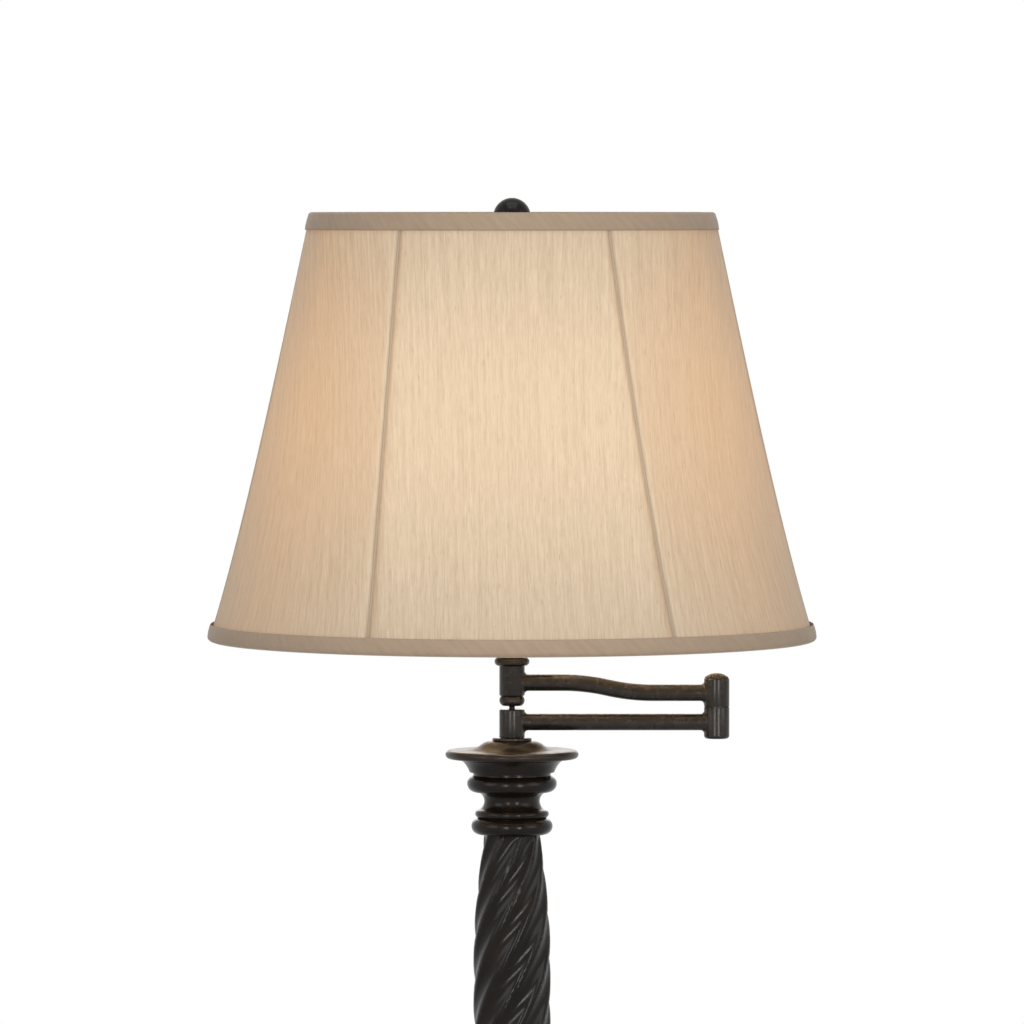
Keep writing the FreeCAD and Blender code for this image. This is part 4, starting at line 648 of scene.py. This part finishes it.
@dataclass(frozen=True)
class Assembly:
    """Rigid nodes that are dressed together, and hidden ones that only get a finish."""

    name: str
    shown: tuple[Dressed, ...]
    hidden: tuple[tuple[str, Finish], ...] = ()

    def build(self) -> list[bpy.types.Object]:
        """Dresses the shown nodes and paints the hidden ones.

        Returns:
            The new pieces.
        """
        for node, finish in self.hidden:
            for slot in frame["nodes"][node].material_slots:
                slot.material = finish.material()
        return [dressed.build() for dressed in self.shown]


class Fold(Enum):
    """Which edge of a trim band goes round its ring."""

    UPPER = "upper"
    LOWER = "lower"


@dataclass
class Shade:
    """Empire shade: cloth panels over rib wires, seams, a lining and two trim bands."""

    panels: int = 6
    columns: int = 28
    rows: int = 56
    bottom_radius: float = 0.22625
    top_radius: float = 0.15320
    sag: float = 0.0036
    flare: float = 0.7
    flatness: float = 0.5
    lean: float = 4.6
    turn: float = -27.9
    hem_lift: float = 0.0014
    cloth: float = 0.0005
    lining_cloth: float = 0.0003
    lining_inset: float = 0.0008
    grain: tuple[float, ...] = (-0.02, -0.20, -0.20, 0.0, 0.24, 0.24)
    seam_radius: float = 0.0009
    seam_sink: float = 0.0006
    seam_sides: int = 8
    pucker_depth: float = 0.0004
    pucker_fade: float = 14.0
    pucker_stretch: float = 3.0
    ripples_across: float = 9.0
    ripples_up: float = 46.0
    ripple_shift: float = 7.0
    ripple_cut: float = 0.5

    def __post_init__(self) -> None:
        """Takes the panels' levels from the frame."""
        low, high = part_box("shade_panel_1")
        self.low: float = low[2]
        self.high: float = high[2]

    @staticmethod
    def node(number: int) -> str:
        """The CAD node of a panel that is counted from 0."""
        return "shade_panel_%d" % (number + 1)

    def chord(self, up: float) -> float:
        """Straight distance between two ribs at a share of the height."""
        return 2.0 * self.rib_radius(up) * math.sin(math.pi / self.panels)

    def rib_radius(self, up: float) -> float:
        """Radius of the cloth over a rib at a share of the height."""
        bow = self.sag * math.sin(math.pi * up ** self.flare)
        return self.bottom_radius + (self.top_radius - self.bottom_radius) * up - bow

    def rib_azimuth(self, number: float, up: float) -> float:
        """Azimuth of a rib in radians, from -Y towards +X."""
        return math.radians(self.turn + number * 360.0 / self.panels - self.lean * up)

    def reach(self, across: float, up: float) -> float:
        """Distance of the cloth from the axis: a shallow arc from rib to rib."""
        rib = self.rib_radius(up)
        half_turn = math.pi / self.panels
        flat = self.flatness * math.sin(math.pi * up)
        crown = rib * (math.cos(half_turn) + (1.0 - flat) * (1.0 - math.cos(half_turn)))
        half_chord = rib * math.sin(half_turn)
        sagitta = crown - rib * math.cos(half_turn)
        arc = (half_chord ** 2 + sagitta ** 2) / (2.0 * sagitta)
        centre = crown - arc
        azimuth = (across - 0.5) * 2.0 * half_turn
        return centre * math.cos(azimuth) + math.sqrt(arc ** 2 - (centre * math.sin(azimuth)) ** 2)

    def spot(self, number: int, across: float, up: float, inset: float = 0.0) -> Vector:
        """A point of the cloth.

        Args:
            number: the panel, from 0.
            across: share of the way from its first rib to its second.
            up: share of the height.
            inset: how far inside the cloth's outer face, in metres.

        Returns:
            The point, in the frame.
        """
        azimuth = self.rib_azimuth(number + across, up)
        reach = self.reach(across, up) - inset
        level = self.low + (self.high - self.low) * up
        return Vector((reach * math.sin(azimuth), -reach * math.cos(azimuth), level))

    def grid(self, number: int, inset: float, puckers: float) -> BMesh:
        """One panel's cloth as a single layer with its own map in metres.

        Args:
            number: the panel, from 0.
            inset: how far inside the panel's outer face.
            puckers: depth of the small puckers beside the seams and the bands.

        Returns:
            The mesh, with its faces outwards.
        """
        mesh = bmesh.new()
        bmesh.ops.create_grid(mesh, x_segments=self.columns, y_segments=self.rows, size=0.5,
                              calc_uvs=True)
        layer = mesh.loops.layers.uv.verify()
        length = self.high - self.low
        for face in mesh.faces:
            for loop in face.loops:
                along, up = loop.vert.co.x, loop.vert.co.y + 0.5
                slant = self.grain[number] * up * length
                loop[layer].uv = (number + along * self.chord(up) + slant, up * length)
        gap = mesh.verts.layers.float.new(SEAM_GAP)
        for vert in mesh.verts:
            across, up = vert.co.x + 0.5, vert.co.y + 0.5
            vert[gap] = min(across, 1.0 - across) * self.chord(up)
            vert.co = self.spot(number, across, up,
                                inset + self.pucker(number, across, up, puckers))
        return mesh

    def pucker(self, number: int, across: float, up: float, depth: float) -> float:
        """How far a point is drawn in by the puckers beside the seams and the bands.

        Args:
            number: the panel, from 0.
            across: share of the way from its first rib to its second.
            up: share of the height.
            depth: the puckers' full depth.

        Returns:
            The distance inwards, in metres.
        """
        edge = min(across, 1.0 - across, self.pucker_stretch * up, self.pucker_stretch * (1.0 - up))
        near = max(0.0, 1.0 - self.pucker_fade * edge)
        place = Vector((across * self.ripples_across + number * self.ripple_shift,
                        up * self.ripples_up, self.ripple_cut))
        return depth * near * abs(noise.noise(place))

    def panel(self, number: int) -> bpy.types.Object:
        """One panel's cloth."""
        piece = add_piece(self.grid(number, 0.0, self.pucker_depth),
                          "shade_cloth_%d" % (number + 1), SHADE_CLOTH, [self.node(number)])
        self.thicken(piece, self.cloth)
        return piece

    def thicken(self, piece: bpy.types.Object, thickness: float) -> None:
        """Gives a single layer its thickness, inwards."""
        shell = piece.modifiers.new("thickness", "SOLIDIFY")
        shell.thickness = thickness
        shell.offset = -1.0

    def lining(self) -> bpy.types.Object:
        """The lining, one continuous sheet behind the cloth."""
        mesh = bmesh.new()
        for number in range(self.panels):
            part = bpy.data.meshes.new("lining_part")
            single = self.grid(number, self.lining_inset, 0.0)
            single.to_mesh(part)
            single.free()
            mesh.from_mesh(part)
            bpy.data.meshes.remove(part)
        bmesh.ops.remove_doubles(mesh, verts=mesh.verts, dist=PANEL_MERGE)
        nodes = [self.node(number) for number in range(self.panels)]
        piece = add_piece(mesh, "shade_lining", LINING, nodes)
        self.thicken(piece, self.lining_cloth)
        return piece

    def seam(self, number: int) -> bpy.types.Object:
        """The rolled seam over one rib, half sunk between its panels."""
        mesh = bmesh.new()
        start = Matrix.Translation(self.spot(number, 0.0, 0.0, self.seam_sink))
        bmesh.ops.create_circle(mesh, segments=self.seam_sides, radius=self.seam_radius,
                                matrix=start)
        loop = list(mesh.edges)
        for row in range(1, self.rows + 1):
            step = (self.spot(number, 0.0, row / self.rows, self.seam_sink)
                    - self.spot(number, 0.0, (row - 1) / self.rows, self.seam_sink))
            grown = bmesh.ops.extrude_edge_only(mesh, edges=loop)["geom"]
            loop = [item for item in grown if isinstance(item, bmesh.types.BMEdge)]
            verts = [item for item in grown if isinstance(item, bmesh.types.BMVert)]
            bmesh.ops.translate(mesh, verts=verts, vec=step)
        bmesh.ops.holes_fill(mesh, edges=mesh.edges, sides=self.seam_sides)
        bmesh.ops.recalc_face_normals(mesh, faces=mesh.faces)
        return add_piece(mesh, "shade_seam_%d" % (number + 1), SHADE_CLOTH,
                         [self.node(number)], sharp=60.0)

    def trim(self, place: str, finish: Finish, folded: Fold) -> bpy.types.Object:
        """A trim band, folded round its ring.

        Args:
            place: top or bottom, as in the node's name.
            finish: its cloth.
            folded: which of its edges goes round the ring.

        Returns:
            The band.
        """
        node = "shade_%s_band" % place
        low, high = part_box(node)
        lift = self.hem_lift if folded is Fold.LOWER else 0.0
        band = TrimBand(low[2] + lift, high[2] + lift / 2.0, (high[0] - low[0]) / 2.0, folded)
        piece = add_piece(band.mesh(), "shade_%s_trim" % place, finish, [node], sharp=50.0)
        self.thicken(piece, band.cloth)
        return piece

    def build(self) -> list[bpy.types.Object]:
        """All the shade's cloth."""
        pieces = [self.panel(number) for number in range(self.panels)]
        pieces += [self.seam(number) for number in range(self.panels)]
        pieces.append(self.lining())
        pieces.append(self.trim("top", TOP_TRIM, Fold.UPPER))
        pieces.append(self.trim("bottom", HEM_TRIM, Fold.LOWER))
        return pieces


@dataclass
class TrimBand:
    """Cross-section of a trim band, turned round the axis with a little unevenness."""

    low: float
    high: float
    radius: float
    folded: Fold
    lean: float = 0.0030
    bulge: float = 0.0004
    turn: float = 0.0030
    inner_gap: float = 0.0036
    inner_share: float = 0.8
    cloth: float = 0.0005
    steps: int = 240
    rise: int = 8
    bends: int = 8
    waviness: float = 0.00025
    waves_round: float = 26.0
    waves_up: float = 60.0

    def face(self, level: float) -> float:
        """Radius of the band's outer face at a level."""
        start = self.low + (self.turn if self.folded is Fold.LOWER else 0.0)
        return self.radius - self.lean * (level - start) / (self.high - self.low)

    def level(self, height: float) -> float:
        """Level of a point at a height from the folded edge."""
        return self.low + height if self.folded is Fold.LOWER else self.high - height

    def outline(self) -> list[Vector]:
        """Points from the raw edge along the outer face, round the ring and back inside."""
        height = self.high - self.low
        points = []
        for step in range(self.rise + 1):
            share = step / self.rise
            level = self.level(height - (height - self.turn) * share)
            out = self.bulge * math.sin(math.pi * share)
            points.append(Vector((self.face(level) + out, 0.0, level)))
        centre = points[-1].x - self.turn
        for step in range(1, self.bends + 1):
            angle = math.pi * step / self.bends
            level = self.level(self.turn * (1.0 - math.sin(angle)))
            points.append(Vector((centre + self.turn * math.cos(angle), 0.0, level)))
        end = self.level(height * self.inner_share)
        points.append(Vector((self.face(end) - self.inner_gap, 0.0, end)))
        return points

    def mesh(self) -> BMesh:
        """The outline turned a full turn, then pushed in and out a little."""
        mesh = bmesh.new()
        verts = [mesh.verts.new(point) for point in self.outline()]
        edges = [mesh.edges.new(pair) for pair in zip(verts, verts[1:])]
        bmesh.ops.spin(mesh, geom=verts + edges, cent=(0.0, 0.0, 0.0), axis=(0.0, 0.0, 1.0),
                       angle=math.tau, steps=self.steps, use_merge=True)
        bmesh.ops.recalc_face_normals(mesh, faces=mesh.faces)
        for vert in mesh.verts:
            away = Vector((vert.co.x, vert.co.y, 0.0)).normalized()
            rise = Vector((0.0, 0.0, vert.co.z * self.waves_up))
            ripple = noise.noise(away * self.waves_round + rise)
            vert.co -= away * self.waviness * abs(ripple)
        return mesh

    def flat(self) -> tuple[float, float]:
        """Length and width of the strip before it was folded."""
        points = self.outline()
        width = sum((after - before).length for before, after in zip(points, points[1:]))
        return (math.tau * self.radius, width)


STAND = Assembly("stand", (
    Dressed("base_shell", RESIN_BRONZE, 0.5),
    Dressed("base_collar", RESIN_BRONZE, 0.5),
    Dressed("lower_twist_column", RESIN_BRONZE, 0.0),
    Dressed("middle_collar", RESIN_BRONZE, 0.5),
    Dressed("upper_twist_column", RESIN_BRONZE, 0.0),
    Dressed("capital", RESIN_BRONZE, 0.5),
    Dressed("bobeche_disc", LIT_DISC_BRONZE, 0.4),
    Dressed("check_ring", ARM_BRONZE, 0.2),
    Dressed("swivel_post", ARM_BRONZE, 0.2),
    Dressed("swivel_screw", ARM_BRONZE, 0.2),
    Dressed("base_felt_pad", FELT, 0.5),
    Dressed("cord_bushing", BLACK_MOULDING, 0.2),
), (
    ("base_weight", CAST_IRON), ("base_washer", ZINC_STEEL), ("base_nut", ZINC_STEEL),
    ("lower_pipe", ZINC_STEEL), ("upper_pipe", ZINC_STEEL), ("pipe_coupling", ZINC_STEEL),
    ("column_top_nut", ZINC_STEEL),
))
ARMS = Assembly("arms", (
    Dressed("swivel_knuckle", ARM_BRONZE, 0.3),
    Dressed("lower_arm_tube", ARM_BRONZE, 0.0),
    Dressed("lower_elbow_knuckle", ARM_BRONZE, 0.3),
    Dressed("elbow_washer", BLACK_FIBRE, 0.1),
    Dressed("upper_elbow_knuckle", ARM_BRONZE, 0.3),
    Dressed("elbow_cap", ARM_BRONZE, 0.2),
    Dressed("upper_arm_tube", ARM_BRONZE, 0.0),
    Dressed("socket_cup_knuckle", ARM_BRONZE, 0.3),
    Dressed("knuckle_bead_nut", ARM_BRONZE, 0.3),
), (("elbow_bolt", ZINC_STEEL), ("elbow_nut", ZINC_STEEL)))
LIGHT = Assembly("light", (
    Dressed("cup_spacer", ANTIQUE_BRASS, 0.2),
    Dressed("harp_saddle", ANTIQUE_BRASS, 0.3),
    Dressed("harp", ANTIQUE_BRASS, 0.0),
    Dressed("harp_sleeves", ANTIQUE_BRASS, 0.3),
    Dressed("harp_stud", ANTIQUE_BRASS, 0.2),
    Dressed("socket_cap", ANTIQUE_BRASS, 0.2),
    Dressed("socket_shell", ANTIQUE_BRASS, 0.2),
    Dressed("switch_key", BLACK_MOULDING, 0.4),
    Dressed("switch_spindle", ANTIQUE_BRASS, 0.0),
    Dressed("bulb_cap", BULB_METAL, 0.2),
    Dressed("bulb_glass", BULB_GLASS, 0.0),
), (
    ("socket_nipple", ANTIQUE_BRASS), ("socket_liner", FIBRE_BOARD),
    ("socket_body", BLACK_MOULDING), ("socket_screw_shell", ANTIQUE_BRASS),
    ("socket_contact", ANTIQUE_BRASS),
))
SHADE_FRAME = Assembly("shade frame", (
    Dressed("shade_spider", CREAM_WIRE, 0.3),
    Dressed("shade_top_ring", CREAM_WIRE, 0.0),
    Dressed("shade_bottom_ring", CREAM_WIRE, 0.0),
    Dressed("shade_ribs", CREAM_WIRE, 0.0),
    Dressed("finial", RESIN_BRONZE, 0.3),
), (("finial_insert", ANTIQUE_BRASS),))


@dataclass(frozen=True)
class Lamp:
    """A soft rectangular lamp: its centre and size in metres and its power in watts."""

    name: str
    place: tuple[float, float, float]
    size: tuple[float, float]
    power: float

    def build(self, aim: Vector) -> None:
        """Puts the lamp in its place and turns it to the point it is aimed at."""
        data = bpy.data.lights.new(self.name, "AREA")
        data.shape = "RECTANGLE"
        data.size, data.size_y = self.size
        data.energy = self.power
        lamp = bpy.data.objects.new(self.name, data)
        lamp.location = self.place
        lamp.rotation_euler = (aim - Vector(self.place)).to_track_quat("-Z", "Y").to_euler()
        lamp.visible_camera = False
        bpy.context.scene.collection.objects.link(lamp)


LAMPS = (
    Lamp("front_strip_left", (-0.75, -2.6, 1.35), (0.16, 1.3), 18.0),
    Lamp("front_strip_right", (0.95, -2.5, 1.35), (0.16, 1.3), 20.0),
    Lamp("left_soft", (-2.6, -1.6, 2.0), (1.6, 1.6), 19.0),
    Lamp("right_soft", (2.6, -1.6, 2.0), (1.6, 1.6), 19.0),
    Lamp("overhead", (0.0, -0.6, 3.6), (2.0, 2.0), 21.0),
    Lamp("behind", (0.0, 2.8, 2.0), (2.0, 1.6), 17.0),
)


@dataclass
class Studio:
    """Pale floor, white surroundings, plain soft lamps and the photograph's camera."""

    distance: float = 6.0
    eye_level: float = 1.5218
    tilt: float = 2.23
    focal_length: float = 281.4
    sensor: float = 36.0
    far_limit: float = 100.0
    surround: float = 0.20
    floor_size: float = 8.0
    floor_solid: float = 0.7
    floor_end: float = 2.1
    floor_colour: Colour = (0.90, 0.90, 0.90)
    floor_shade: float = 0.985
    floor_spots: float = 30.0
    floor_roughness: float = 0.8
    aim_level: float = 1.25

    def camera(self) -> None:
        """The camera, level with the shade's top and tilted down a little."""
        data = bpy.data.cameras.new("camera")
        data.lens = self.focal_length
        data.sensor_width = self.sensor
        data.clip_end = self.far_limit
        eye = bpy.data.objects.new("camera", data)
        eye.location = (0.0, -self.distance, self.eye_level)
        eye.rotation_euler = (math.radians(90.0 - self.tilt), 0.0, 0.0)
        bpy.context.scene.collection.objects.link(eye)
        bpy.context.scene.camera = eye

    @staticmethod
    def seen_directly(graph: Graph) -> bpy.types.NodeSocket:
        """1 for rays from the eye, from gloss and through glass."""
        path = graph.add("LightPath").outputs
        either = graph.calc("MAXIMUM", path["Is Camera Ray"], path["Is Glossy Ray"])
        return graph.calc("MAXIMUM", either, path["Is Transmission Ray"])

    def world(self) -> None:
        """White where it is seen directly, and a plain level of light elsewhere."""
        world = bpy.data.worlds.new("surround")
        world.use_nodes = True
        graph = Graph(world.node_tree)
        back = world.node_tree.nodes["Background"]
        back.inputs["Color"].default_value = (1.0, 1.0, 1.0, 1.0)
        strength = graph.remap(self.seen_directly(graph), 0.0, 1.0, self.surround, 1.0)
        world.node_tree.links.new(strength, back.inputs["Strength"])
        bpy.context.scene.world = world

    def floor(self) -> None:
        """A pale floor that keeps the lamp's shadow and fades into the white."""
        mesh = bmesh.new()
        bmesh.ops.create_grid(mesh, x_segments=2, y_segments=2, size=self.floor_size / 2.0)
        data = bpy.data.meshes.new("floor")
        mesh.to_mesh(data)
        mesh.free()
        material = bpy.data.materials.new("pale_floor")
        material.use_nodes = True
        graph = Graph(material.node_tree)
        shader = material.node_tree.nodes["Principled BSDF"]
        spots = graph.add("TexNoise", {"Scale": self.floor_spots, "Detail": 3.0})
        low = tuple(part * self.floor_shade for part in self.floor_colour)
        colour = graph.mix(spots.outputs[0], low, self.floor_colour)
        graph.tree.links.new(colour, shader.inputs["Base Color"])
        place = graph.add("TexCoord").outputs["Object"]
        away = graph.add("VectorMath", {0: place}, operation="LENGTH").outputs["Value"]
        fade = graph.remap(away, self.floor_solid, self.floor_end, 1.0, 0.0)
        graph.tree.links.new(fade, shader.inputs["Alpha"])
        shader.inputs["Roughness"].default_value = self.floor_roughness
        data.materials.append(material)
        floor = bpy.data.objects.new("floor", data)
        bpy.context.scene.collection.objects.link(floor)

    def build(self) -> None:
        """The whole studio."""
        bpy.context.scene.view_settings.view_transform = "Standard"
        self.camera()
        for lamp in LAMPS:
            lamp.build(Vector((0.0, 0.0, self.aim_level)))
        self.world()
        self.floor()


def main() -> None:
    """Builds the lamp's assemblies, its shade and the studio."""
    logging.basicConfig(level=logging.INFO, format="%(name)s: %(message)s")
    for assembly in (STAND, ARMS, LIGHT, SHADE_FRAME):
        pieces = assembly.build()
        LOG.info("%s: %d pieces", assembly.name, len(pieces))
    LOG.info("shade: %d pieces", len(Shade().build()))
    Studio().build()


if __name__ == "__main__":
    main()
